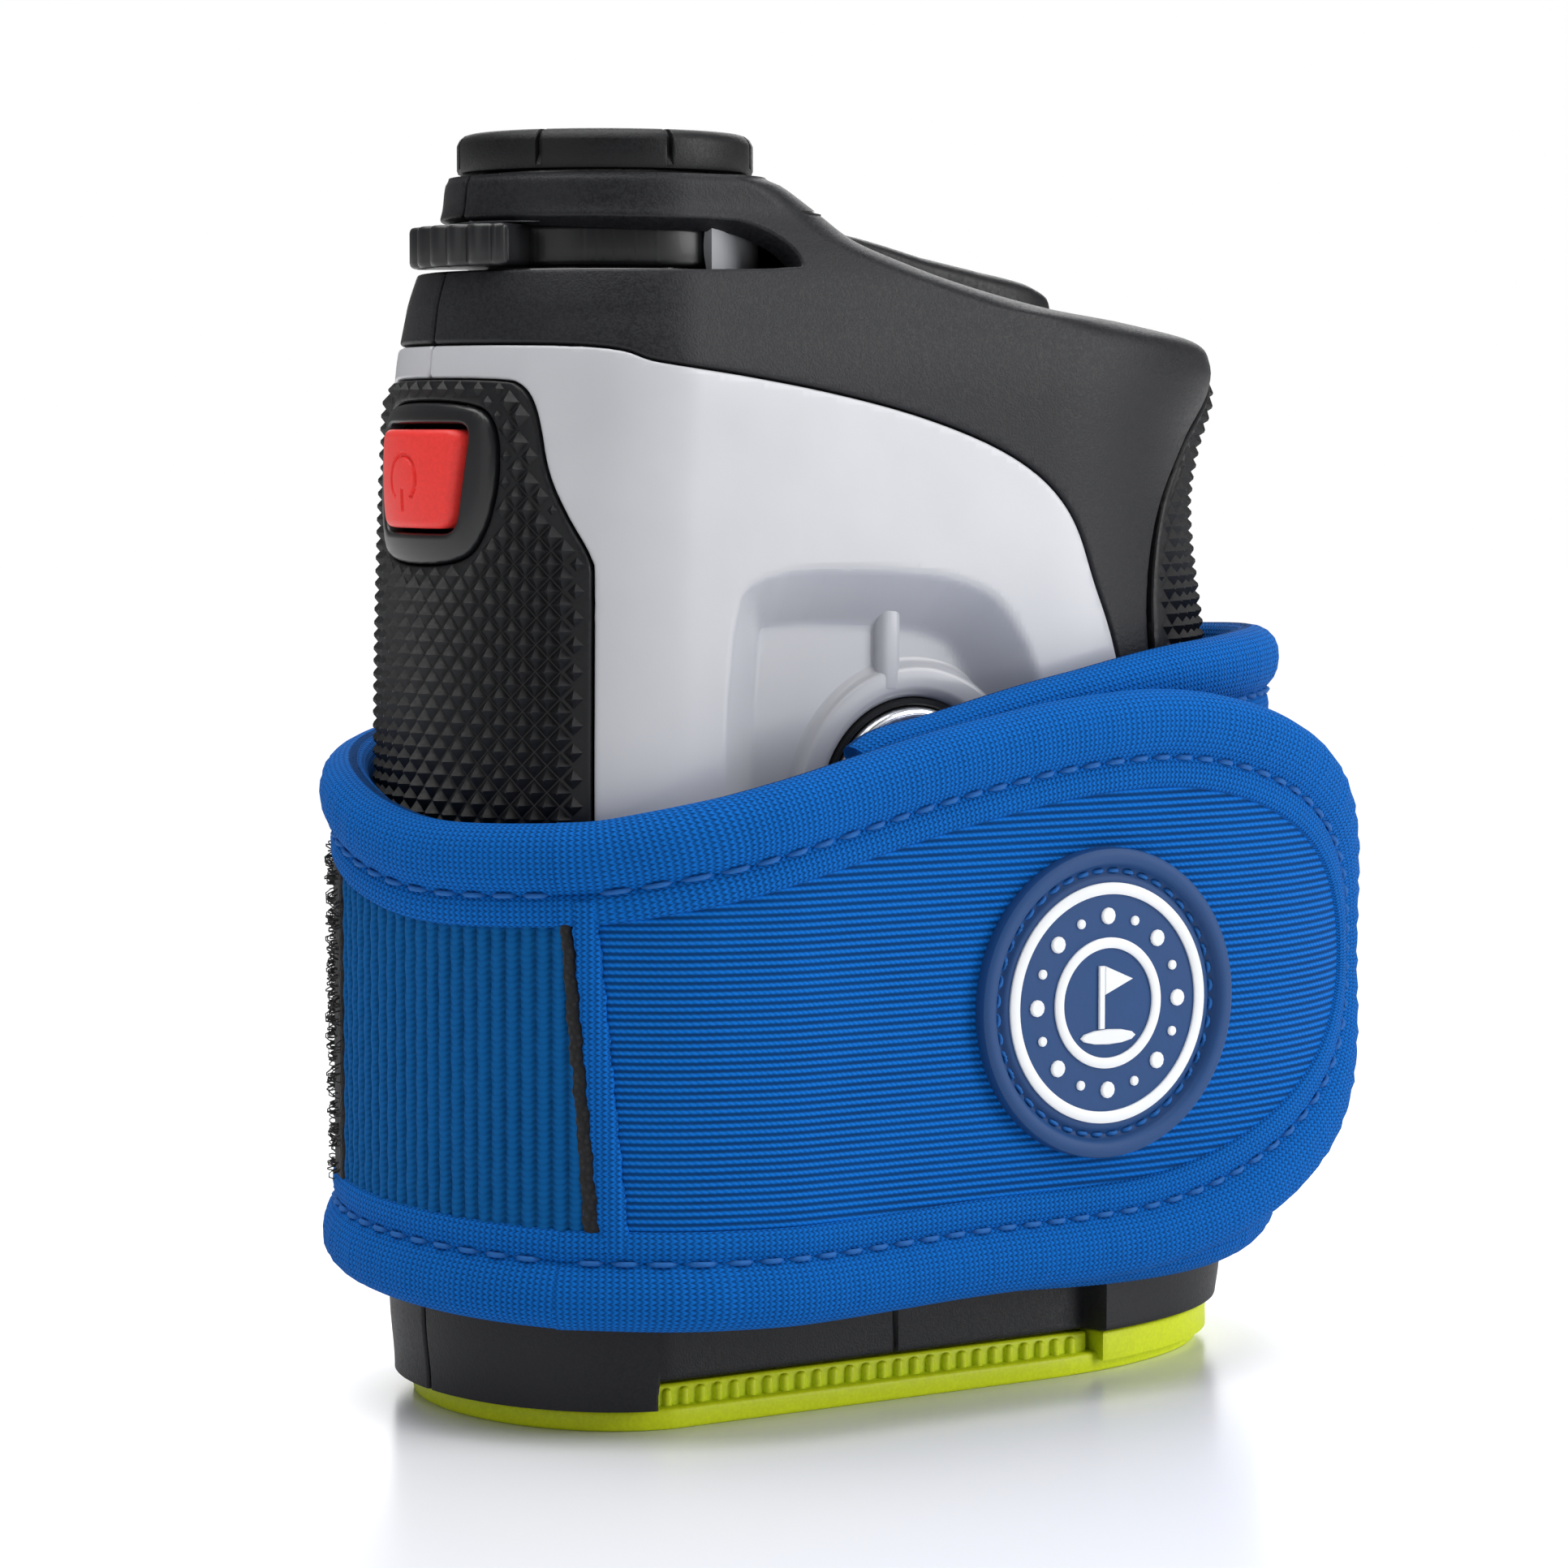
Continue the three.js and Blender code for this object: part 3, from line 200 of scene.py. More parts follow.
# ---------------------------------------------------------------- cutting a dense skin along level lines
class Skin:
    """Triangles whose vertex columns are point, normal and any named fields, which cuts interpolate."""

    def __init__(self, points, normals, faces, **fields):
        self.names = list(fields)
        self.rows = np.column_stack([points, normals] + [fields[n] for n in self.names])
        self.faces = np.asarray(faces, int)

    def __getitem__(self, name):
        return self.rows[:, 6 + self.names.index(name)]

    def split(self, name, level):
        """Puts a line of vertices where the field equals level."""
        column = 6 + self.names.index(name)
        d = self.rows[:, column] - level
        d[np.abs(d) < 0.02] = 0
        self.rows[:, column] = d + level
        sign = np.sign(d)
        corner = sign[self.faces]
        mixed = (corner.max(1) > 0) & (corner.min(1) < 0)
        whole, cut = self.faces[~mixed], self.faces[mixed]
        if not len(cut):
            return
        edges = np.sort(cut[:, [0, 1, 1, 2, 2, 0]].reshape(-1, 2), 1)
        crossing = sign[edges[:, 0]] * sign[edges[:, 1]] < 0
        pairs, index = np.unique(edges[crossing], axis=0, return_inverse=True)
        da, db = d[pairs[:, 0]], d[pairs[:, 1]]
        t = (da / (da - db))[:, None]
        added = self.rows[pairs[:, 0]] * (1 - t) + self.rows[pairs[:, 1]] * t
        added[:, column] = level
        new = np.full(len(edges), -1)
        new[crossing] = len(self.rows) + index.ravel()
        new = new.reshape(-1, 3)
        self.rows = np.vstack([self.rows, added])
        out = [whole]
        for k in range(3):
            a, b, c = cut[:, k], cut[:, (k + 1) % 3], cut[:, (k + 2) % 3]
            ab, bc, ca = new[:, k], new[:, (k + 1) % 3], new[:, (k + 2) % 3]
            lone = (ab >= 0) & (ca >= 0)
            out.append(np.stack([a, ab, ca], 1)[lone])
            out.append(np.stack([ab, b, c], 1)[lone])
            out.append(np.stack([ab, c, ca], 1)[lone])
            through = (bc >= 0) & (ab < 0) & (ca < 0)
            out.append(np.stack([a, b, bc], 1)[through])
            out.append(np.stack([a, bc, c], 1)[through])
        self.faces = np.vstack(out)

    def keep(self, name, level=0.0):
        """Drops what lies below the level."""
        low = self[name] < level - 1e-6
        self.faces = self.faces[~low[self.faces].any(1)]
        used, faces = np.unique(self.faces, return_inverse=True)
        self.rows, self.faces = self.rows[used], faces.reshape(-1, 3)

    def trimmed(self, name, rounding):
        """Cut to the field's zero line, with extra lines of vertices across its rounded edge."""
        self.split(name, 0.0)
        self.keep(name)
        for share in (0.13, 0.42, 1.0):
            self.split(name, share * rounding)
        return self


def grid_faces(rows, columns, wrap):
    """Two triangles a cell over a grid of vertices; wrap joins the last column to the first."""
    r, c = np.mgrid[0:rows - 1, 0:columns if wrap else columns - 1]
    a = r * columns + c
    b = r * columns + (c + 1) % columns
    quads = np.stack([a, b, b + columns, a + columns], -1).reshape(-1, 4)
    return np.vstack([quads[:, [0, 1, 2]], quads[:, [0, 2, 3]]])


def body_heights():
    """Heights of the dense skin's rows, closer where the top slopes."""
    z, heights = BODY_LOW, []
    while z < BODY_HIGH:
        heights.append(z)
        rate = np.abs(rows_at(z + 0.05) - rows_at(z)).max() / 0.05
        z += 0.62 / max(1.0, 1.25 * rate)
    return np.array(heights + [BODY_HIGH])


def body_skin():
    u = np.concatenate([
        np.linspace(0, 1, 110, endpoint=False), np.linspace(1, 2, 84, endpoint=False),
        np.linspace(2, 3, 110, endpoint=False), np.linspace(3, 4, 60, endpoint=False),
    ])
    z = body_heights()
    zz, uu = np.meshgrid(z, u, indexing="ij")
    point, normal = body_frame(uu.ravel(), zz.ravel())
    return point, normal, grid_faces(len(z), len(u), True)


def fields_of(point):
    """Distances inside each outline of the casing, at every point of the skin."""
    x, y, z = point.T
    xz, yz = point[:, [0, 2]], point[:, [1, 2]]
    back = inside_distance(yz, smooth_loop(TOP_PAD, 2))
    grip = inside_distance(yz, smooth_loop(FINGER_PAD, 3))
    return {
        "face": inside_distance(xz, FACE),
        "top_pad": np.where(x < -20, back, -20.0),
        "finger_pad": np.where(x > 20, grip, -20.0),
        "island": np.where(x < -20, inside_distance(yz, smooth_loop(ISLAND, 3)), -20.0),
        "slot": np.minimum(inside_distance(xz, smooth_loop(SLOT, 2)), 40.0),
        "recess": inside_distance(xz, smooth_loop(RECESS, 2)),
        "notch": np.minimum(np.minimum(x - NOTCH[0], NOTCH[1] - x), NOTCH[3] - z),
    }


# ---------------------------------------------------------------- meshes and objects
def make(name, vertices, faces, finish, body=None, slot=None, stands_for=(), sharp=None, uv=None):
    """A piece from vertices in millimetres. With a body it rides on it; without, it is left for a blend."""
    mesh = bpy.data.meshes.new(name)
    mesh.from_pydata((np.asarray(vertices, float) * MM).tolist(), [], [list(f) for f in faces])
    mesh.validate()
    work = bmesh.new()
    work.from_mesh(mesh)
    bmesh.ops.recalc_face_normals(work, faces=work.faces)
    work.to_mesh(mesh)
    work.free()
    mesh.shade_smooth()
    if sharp is not None:
        mesh.set_sharp_from_angle(angle=math.radians(sharp))
    if uv is not None:
        layer = mesh.uv_layers.new(name="Cloth")
        corner = np.zeros(len(mesh.loops), np.int32)
        mesh.loops.foreach_get("vertex_index", corner)
        layer.data.foreach_set("uv", np.asarray(uv, np.float32)[corner].ravel())
    obj = bpy.data.objects.new(name, mesh)
    bpy.context.scene.collection.objects.link(obj)
    mesh.materials.append(finish)
    if stands_for:
        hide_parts(*stands_for)
    if body:
        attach(obj, body)
    return obj


def skinned(rings, ends=True):
    """Vertices and faces through closed rings of the same number of points, with or without end faces."""
    rings = np.asarray(rings, float)
    count, sides = rings.shape[:2]
    r, c = np.mgrid[0:count - 1, 0:sides]
    a = r * sides + c
    b = r * sides + (c + 1) % sides
    faces = np.stack([a, b, b + sides, a + sides], -1).reshape(-1, 4).tolist()
    if ends:
        faces.append(list(range(sides))[::-1])
        faces.append(list(range((count - 1) * sides, count * sides)))
    return rings.reshape(-1, 3), faces


def merged(parts):
    """One list of vertices and faces from several."""
    vertices, faces, start = [], [], 0
    for v, f in parts:
        vertices.append(np.asarray(v, float))
        faces += [[i + start for i in face] for face in f]
        start += len(v)
    return np.vstack(vertices), faces


def turned(profile, sides, centre, axis="Z"):
    """A profile of (radius, height) points turned round an axis through centre."""
    profile = np.asarray(profile, float)
    angle = np.linspace(0, 2 * np.pi, sides, endpoint=False)
    radius = profile[:, 0][:, None] * np.ones(sides)
    height = profile[:, 1][:, None] * np.ones(sides)
    a, b = radius * np.cos(angle), radius * np.sin(angle)
    rings = np.stack([a, b, height] if axis == "Z" else [a, -height, b], -1) + np.asarray(centre, float)
    return skinned(rings, ends=False)


def rounded_box(low, high, r, steps=3):
    """A box with rounded edges, as vertices and faces."""
    low, high = np.asarray(low, float), np.asarray(high, float)
    middle, half = (low + high) / 2, (high - low) / 2
    lat = np.linspace(-np.pi / 2, np.pi / 2, 4 * steps)
    lon = np.concatenate([q * np.pi / 2 + np.linspace(0, np.pi / 2, steps + 2) for q in range(4)])
    corner = np.repeat([[1, 1], [-1, 1], [-1, -1], [1, -1]], steps + 2, axis=0)
    rings = []
    for t in lat:
        sign = 1.0 if t > 0 else -1.0
        ring = np.stack([
            corner[:, 0] * (half[0] - r) + r * np.cos(t) * np.cos(lon),
            corner[:, 1] * (half[1] - r) + r * np.cos(t) * np.sin(lon),
            np.full(len(lon), sign * (half[2] - r) + r * np.sin(t)),
        ], -1)
        rings.append(ring + middle)
    return skinned(rings)


def tube(path, radius, sides=6):
    """A round thread along a path of points."""
    path = np.asarray(path, float)
    along = np.gradient(path, axis=0)
    along /= np.maximum(np.linalg.norm(along, axis=1, keepdims=True), 1e-9)
    helper = np.where(np.abs(along[:, 2:3]) > 0.8, [[1.0, 0, 0]], [[0, 0, 1.0]])
    side = np.cross(along, helper)
    side /= np.maximum(np.linalg.norm(side, axis=1, keepdims=True), 1e-9)
    over = np.cross(side, along)
    angle = np.linspace(0, 2 * np.pi, sides, endpoint=False)
    radius = np.broadcast_to(radius, len(path))[:, None, None]
    round_it = side[:, None] * np.cos(angle)[:, None] + over[:, None] * np.sin(angle)[:, None]
    rings = path[:, None] + radius * round_it
    return skinned(rings)


# ---------------------------------------------------------------- strap geometry
# s is the distance along the strap from the middle of the button side, going round by -Y; off is outwards.
STRAP_ROW = rows_at(34.0)
STRAP_LOOSE = 0.3
MIDDLE_OFF = 2.5
INNER, PANEL = 0.8, 3.6  # inner and outer faces of the band
TAB_LIFT, TIP_LIFT = 4.1, 3.6  # how far the tab, and then its tip, stand off the band


def middle_path():
    """Points, outward directions and distances round the strap's middle layer."""
    back, back_len, half, grip, grip_len = STRAP_ROW
    off = MIDDLE_OFF + STRAP_LOOSE
    back_mid, grip_mid = back + back_len, grip - grip_len
    a = np.linspace(np.pi, 1.5 * np.pi, 400)
    b = np.linspace(1.5 * np.pi, 2.5 * np.pi, 800)
    c = np.linspace(0.5 * np.pi, np.pi, 400)
    parts = [
        np.stack([back_mid + (back_len + off) * np.cos(a), (half + off) * np.sin(a)], -1),
        np.stack([grip_mid + (grip_len + off) * np.cos(b), (half + off) * np.sin(b)], -1),
        np.stack([back_mid + (back_len + off) * np.cos(c), (half + off) * np.sin(c)], -1),
    ]
    flat = [np.linspace(parts[k][-1], parts[k + 1][0], 200)[1:-1] for k in (0, 1)]
    p = np.vstack([parts[0], flat[0], parts[1], flat[1], parts[2]])
    keep = np.r_[True, np.linalg.norm(np.diff(p, axis=0), axis=1) > 1e-6]
    p = p[keep]
    s = np.r_[0, np.cumsum(np.linalg.norm(np.diff(p, axis=0), axis=1))]
    t = np.gradient(p, s, axis=0)
    t /= np.linalg.norm(t, axis=1, keepdims=True)
    return p, np.stack([t[:, 1], -t[:, 0]], -1), s


PATH, OUTWARD, ALONG = middle_path()
STRAP_LENGTH = ALONG[-1]


def strap_point(s, off, z):
    s, off, z = np.broadcast_arrays(np.asarray(s, float), off, z)
    d = np.mod(s, STRAP_LENGTH)
    p = np.stack([np.interp(d, ALONG, PATH[:, k]) for k in (0, 1)], -1)
    n = np.stack([np.interp(d, ALONG, OUTWARD[:, k]) for k in (0, 1)], -1)
    n /= np.linalg.norm(n, axis=-1, keepdims=True)
    xy = p + n * (off - MIDDLE_OFF)[..., None]
    return np.concatenate([xy, z[..., None]], -1)


def through(points):
    """A smooth curve through a few points, as a function."""
    p = np.asarray(points, float)
    n = len(p)
    dense = []
    for u in np.linspace(0, 1, 201) * (n - 1):
        i = min(int(u), n - 1)
        t = u - i
        p0, p1, p2, p3 = p[max(i - 1, 0)], p[i], p[min(i + 1, n - 1)], p[min(i + 2, n - 1)]
        v0, v1 = (p2 - p0) * 0.5, (p3 - p1) * 0.5
        cubic, square = 2 * p1 - 2 * p2 + v0 + v1, -3 * p1 + 3 * p2 - 2 * v0 - v1
        dense.append(cubic * t**3 + square * t**2 + v0 * t + p1)
    dense = np.maximum.accumulate(np.array(dense)[:, 0]), np.array(dense)[:, 1]
    return lambda s: np.interp(s, *dense)


L = STRAP_LENGTH
BAND_TIP, ELASTIC_FROM = 39.0, L - 6.4
TAB_FROM, LIFTED, BEND, TAB_TIP = 19.0, 38.0, 70.0, 105.0
band_top = through([
    [BAND_TIP, 46], [BAND_TIP + 1.5, 51.5], [BAND_TIP + 6.8, 57.3], [54, 59.4], [66.8, 62.2], [83, 64.6],
    [L / 2, 65.2], [L / 2 + 50, 62.0], [L - 26, 57.4], [L - 10, 54.6], [L, 52.2], [L + 8, 51.0],
    [L + 20, 51.2],
])
band_bottom = through([
    [BAND_TIP, 20], [BAND_TIP + 3, 13.5], [BAND_TIP + 10, 10.2], [83, 8.8], [L / 2, 11.0], [L / 2 + 50, 12.4],
    [L - 30, 12.4], [L, 10.6], [L + 20, 9.5],
])
tab_top = through([
    [TAB_FROM, 51.2], [22.5, 51.5], [29.5, 53.0], [37.7, 55.0], [54, 58.7], [71, 60.9], [106, 62.0],
])
tab_bottom = through([[TAB_FROM, 9.5], [37.7, 9.5], [54, 10.1], [71, 10.5], [106, 12.5]])
TAB_MIDDLE = 35.6
TAB_INSET = 6.6  # how far the tab's binding covers its panel
CORD = 1.28  # pitch of the elastic's cords


def eased(t):
    u = np.clip(t, 0, 1)
    return u * u * (3 - 2 * u)


def tab_lift(s):
    s = np.asarray(s, float)
    climb = eased((s - TAB_FROM - 1) / (LIFTED - TAB_FROM - 1))
    return TAB_LIFT * climb + TIP_LIFT * eased((s - BEND) / (TAB_TIP - BEND))


def tab_path(step=1.0):
    """The tab's edge as (s, z) points from its top root round its rounded end to its bottom root."""
    straight = np.arange(18.5, BEND, step)
    turn = np.linspace(0, np.pi / 2, 46)
    s = BEND + (TAB_TIP - BEND) * np.sin(turn)
    over = np.stack([s, TAB_MIDDLE + (tab_top(s) - TAB_MIDDLE) * np.cos(turn)], -1)
    under = np.stack([s, TAB_MIDDLE + (tab_bottom(s) - TAB_MIDDLE) * np.cos(turn)], -1)[::-1][1:]
    top = np.stack([straight, tab_top(straight)], -1)
    bottom = np.stack([straight, tab_bottom(straight)], -1)[::-1]
    rough = np.vstack([top, over, under, bottom])
    d = np.r_[0, np.cumsum(np.linalg.norm(np.diff(rough, axis=0), axis=1))]
    even = np.linspace(0, d[-1], int(d[-1] / step) + 1)
    return np.stack([np.interp(even, d, rough[:, k]) for k in (0, 1)], -1), even


def inward(path, turned_right):
    """Unit directions from an edge path into the cloth, in (s, z)."""
    t = np.gradient(path, axis=0)
    t /= np.linalg.norm(t, axis=1, keepdims=True)
    side = np.stack([t[:, 1], -t[:, 0]], -1)
    return side if turned_right else -side


# Across a folded binding: distance in from the edge, and offset, round the outside and back on the inside.
BINDING = np.array([
    [0.0, 2.7], [0.12, 3.5], [0.5, 4.25], [1.1, 4.8], [1.9, 5.1], [2.9, 5.18], [3.9, 5.05], [4.7, 4.75],
    [5.3, 4.3], [5.65, 3.95], [5.8, 3.85], [5.95, 3.95], [6.3, 4.2], [7.0, 4.32], [7.8, 4.28], [8.2, 4.12],
    [8.4, 3.85],
    [8.4, 3.3], [7.4, 1.0], [5.0, 0.82], [2.4, 0.85], [1.1, 1.05], [0.45, 1.45], [0.1, 2.0],
])
STITCH_IN, STITCH_OFF = 5.8, 4.02


def binding_mesh(path, distance, side, lift):
    """A binding along an edge path, with cloth coordinates (along, round) in millimetres."""
    profile = BINDING
    girth = np.r_[0, np.cumsum(np.linalg.norm(np.diff(profile, axis=0), axis=1))]
    rings, uv = [], []
    for (s, z), d, n in zip(path, distance, side):
        sheet = np.array([s, z]) + profile[:, :1] * n
        pulled = 0.10 * np.sin(d * 2 * np.pi / 2.6)
        bulge = np.clip((profile[:, 1] - 3.9) / 1.2, 0, 1) * pulled
        rings.append(strap_point(sheet[:, 0], profile[:, 1] + bulge + lift(sheet[:, 0]), sheet[:, 1]))
        uv += [[d, g] for g in girth]
    v, f = skinned(rings)
    return v, f, uv


def stitch_row(path, distance, side, lift, pitch=2.6, length=1.9, thread=0.24):
    """Short raised threads sunk along a binding's stitch line."""
    parts = []
    count = int(distance[-1] / pitch)
    for k in range(count):
        d = (k + 0.5) * pitch + np.linspace(-length / 2, length / 2, 5)
        if d[0] < 0.4 or d[-1] > distance[-1] - 0.4:
            continue
        sz = np.stack([np.interp(d, distance, (path + side * STITCH_IN)[:, i]) for i in (0, 1)], -1)
        rise = np.array([-0.35, 0.08, 0.2, 0.08, -0.35])
        parts.append(tube(strap_point(sz[:, 0], STITCH_OFF + rise + lift(sz[:, 0]), sz[:, 1]), thread, 6))
    return merged(parts)


def seam_line(z):
    """Where the slanted seam between elastic and tab lies along the strap, at height z."""
    return 18.4 + 0.081 * (45.8 - z)


def strap_slab(s, low, high, inner, outer, rows, lift=None, ripple=None, shear=None):
    """A closed length of flat cloth between two edges, with cloth coordinates. shear(s, z) slants its
    ends."""
    s = np.asarray(s, float)
    lift = lift or (lambda q: np.zeros_like(q))
    t = np.linspace(0, 1, rows)
    ss, tt = np.meshgrid(s, t, indexing="ij")
    z = low(ss) * (1 - tt) + high(ss) * tt
    if shear is not None:
        ss = ss + shear(ss, z)
    top = np.full_like(z, outer)
    if ripple is not None:
        top = top + ripple(ss, z)
    outside = strap_point(ss, top + lift(ss), z)
    inside = strap_point(ss, inner + lift(ss), z)[:, ::-1]
    rings = np.concatenate([outside, inside], 1)
    v, f = skinned(rings)
    uv = np.concatenate([np.stack([ss, z], -1), np.stack([ss, z], -1)[:, ::-1]], 1).reshape(-1, 2)
    return v, f, uv


# ---------------------------------------------------------------- finishes
class Value:
    """A number socket that takes part in sums."""

    def __init__(self, finish, socket):
        self.finish, self.socket = finish, socket

    def maths(self, operation, *others):
        node = self.finish.tree.nodes.new("ShaderNodeMath")
        node.operation = operation
        for slot, value in zip(node.inputs, (self, *others)):
            self.finish.feed(slot, value)
        return Value(self.finish, node.outputs[0])

    def __add__(self, other):
        return self.maths("ADD", other)

    def __mul__(self, other):
        return self.maths("MULTIPLY", other)

    def __sub__(self, other):
        return self.maths("SUBTRACT", other)

    def __rsub__(self, other):
        return (self * -1.0) + other

    __radd__, __rmul__ = __add__, __mul__

    def sine(self):
        return self.maths("SINE")

    def size(self):
        return self.maths("ABSOLUTE")

    def power(self, other):
        return self.maths("POWER", other)

    def over(self, low, high):
        """0 at low, 1 at high, smooth between them."""
        return Value(self.finish, self.finish.add(
            "ShaderNodeMapRange", {"interpolation_type": "SMOOTHSTEP"},
            Value=self, **{"From Min": low, "From Max": high}).outputs[0])


class Finish:
    """A material built from a few nodes round one Principled shader."""

    def __init__(self, name, **constants):
        self.material = bpy.data.materials.new(name)
        self.material.use_nodes = True
        self.tree = self.material.node_tree
        self.shader = self.tree.nodes["Principled BSDF"]
        for socket, value in constants.items():
            self.shader.inputs[socket.replace("_", " ")].default_value = value

    def feed(self, socket, value):
        if isinstance(value, Value):
            value = value.socket
        if isinstance(value, bpy.types.NodeSocket):
            self.tree.links.new(value, socket)
        else:
            socket.default_value = value

    def add(self, kind, settings=None, **values):
        node = self.tree.nodes.new(kind)
        for key, value in (settings or {}).items():
            setattr(node, key, value)
        for key, value in values.items():
            self.feed(node.inputs[key], value)
        return node

    def place(self):
        return self.add("ShaderNodeTexCoord").outputs["Object"]

    def cloth(self):
        """Distances along and across the cloth in millimetres."""
        uv = self.add("ShaderNodeUVMap", {"uv_map": "Cloth"}).outputs[0]
        parts = self.add("ShaderNodeSeparateXYZ", Vector=uv)
        return Value(self, parts.outputs[0]), Value(self, parts.outputs[1])

    def xyz(self):
        """The point's own coordinates in millimetres."""
        scaled = self.add("ShaderNodeVectorMath", {"operation": "SCALE"}, Vector=self.place(), Scale=1000.0)
        parts = self.add("ShaderNodeSeparateXYZ", Vector=scaled.outputs[0])
        return [Value(self, parts.outputs[k]) for k in range(3)]

    def noise(self, size_mm, detail=2.0):
        return Value(self, self.add(
            "ShaderNodeTexNoise", Vector=self.place(), Scale=1000.0 / size_mm, Detail=detail,
            Roughness=0.5).outputs[0])

    def cells(self, size_mm):
        return Value(self, self.add(
            "ShaderNodeTexVoronoi", {"feature": "F1"}, Vector=self.place(),
            Scale=1000.0 / size_mm).outputs["Distance"])

    def mix(self, share, first, second):
        node = self.tree.nodes.new("ShaderNodeMix")
        node.data_type = "RGBA"
        self.feed(node.inputs["Factor"], share)
        self.feed(node.inputs[6], first)
        self.feed(node.inputs[7], second)
        return node.outputs[2]

    def colour(self, value):
        self.feed(self.shader.inputs["Base Color"], value)

    def rough(self, value):
        self.feed(self.shader.inputs["Roughness"], value)

    def relief(self, height, depth_mm):
        """Bump from a height between 0 and 1."""
        bump = self.add("ShaderNodeBump", Height=height, Distance=depth_mm * MM, Strength=1.0)
        self.feed(self.shader.inputs["Normal"], bump.outputs[0])

    def glow(self, colour, weight, roughness):
        """Cloth sheen."""
        self.shader.inputs["Sheen Weight"].default_value = weight
        self.shader.inputs["Sheen Roughness"].default_value = roughness
        self.shader.inputs["Sheen Tint"].default_value = colour


def tint(rgb, factor=1.0):
    """A linear colour from an ordinary 0-1 one, made lighter or darker."""
    line = [c / 12.92 if c <= 0.04045 else ((c + 0.055) / 1.055) ** 2.4 for c in rgb[:3]]
    return (*[min(1.0, c * factor) for c in line], 1.0)


def speckled_plastic(name, rgb, roughness=0.55, grain=0.2, depth=0.012, contrast=0.22):
    """Moulded plastic with a fine spark-eroded grain."""
    f = Finish(name, Specular_IOR_Level=0.3)
    fine, coarse, broad = f.noise(grain, 2.0), f.noise(grain * 2.6, 2.0), f.noise(9.0, 3.0)
    speck = (fine * 0.65 + coarse * 0.35).over(0.36, 0.66)
    worn = (0.7 * broad + 0.3 * coarse).over(0.3, 0.75)
    dark = f.mix(worn, tint(rgb, 1 - contrast), tint(rgb, 0.95))
    f.colour(f.mix(speck, dark, tint(rgb, 1 + contrast)))
    f.rough(roughness - 0.08 + 0.12 * speck + 0.06 * broad)
    f.relief(speck, depth)
    return f.material


def plain_plastic(name, rgb, roughness, coat=0.0, depth=0.006):
    f = Finish(name, IOR=1.5)
    f.shader.inputs["Coat Weight"].default_value = coat
    f.shader.inputs["Coat Roughness"].default_value = 0.12
    fine, broad = f.noise(0.5, 2.0), f.noise(14.0, 3.0)
    f.colour(f.mix(broad.over(0.25, 0.8), tint(rgb, 0.95), tint(rgb, 1.04)))
    f.rough(roughness - 0.05 + 0.10 * broad + 0.03 * fine)
    f.relief(fine * 0.6 + broad * 0.4, depth)
    return f.material


def metal(name, rgb, roughness, turned_round=None):
    """Metal with fine lines: round a centre (x, z) in millimetres, or along X."""
    f = Finish(name, Metallic=1.0)
    x, y, z = f.xyz()
    if turned_round:
        dx, dz = x - turned_round[0], z - turned_round[1]
        across = (dx * dx + dz * dz).power(0.5)
    else:
        across = z
    lines = (across * 19.0).sine() * 0.5 + (across * 47.0).sine() * 0.3 + 0.5
    broad = f.noise(4.0, 3.0)
    f.colour(f.mix(broad.over(0.2, 0.8), tint(rgb, 0.88), tint(rgb, 1.05)))
    f.rough(roughness + 0.08 * broad + 0.05 * lines)
    f.relief(lines, 0.006)
    return f.material


def knit(name, rgb, pitch_along, pitch_across, kind, light=1.35, dark=0.55):
    """Knitted cloth: 'rib' has fine ribs along it, 'jersey' slanted loops, 'cord' cords across it."""
    f = Finish(name, Specular_IOR_Level=0.15)
    f.glow(tint(rgb, 1.4), 0.12, 0.4)
    along, across = f.cloth()
    fuzz = f.noise(0.22, 2.0)
    broad = f.noise(7.0, 3.0)
    tau = 2 * math.pi
    if kind == "rib":
        wave = ((across + 0.05 * broad) * (tau / pitch_across)).sine() * 0.5 + 0.5
        loops = ((along + across * 0.8) * (tau / pitch_along)).sine() * 0.5 + 0.5
        height = wave * 0.62 + loops * wave * 0.3
    elif kind == "jersey":
        turn = (across * (tau / pitch_across)).sine()
        loops = ((along + turn.size() * pitch_along * 0.5) * (tau / pitch_along)).sine() * 0.5 + 0.5
        height = loops * 0.6 + turn.size() * 0.3
    else:
        wave = (along * (math.pi / pitch_along)).sine().size()
        loops = ((across + 0.25 * wave) * (tau / pitch_across)).sine() * 0.5 + 0.5
        height = wave * 0.6 + loops * 0.3
    height = height + 0.18 * fuzz
    # Painted shade and highlight: the knit's grooves take the colour darkened by dark, as painted shade, with
    # a random tone from broad noise. Its raised loops take the colour lightened by light, as a painted
    # highlight.
    shade = height.over(0.1, 0.95)
    painted_groove_shade = f.mix(broad.over(0.3, 0.7), tint(rgb, dark), tint(rgb, dark * 1.2))
    f.colour(f.mix(shade, painted_groove_shade, tint(rgb, light)))
    f.rough(0.95 - 0.12 * shade)
    f.relief(height, 0.13)
    return f.material


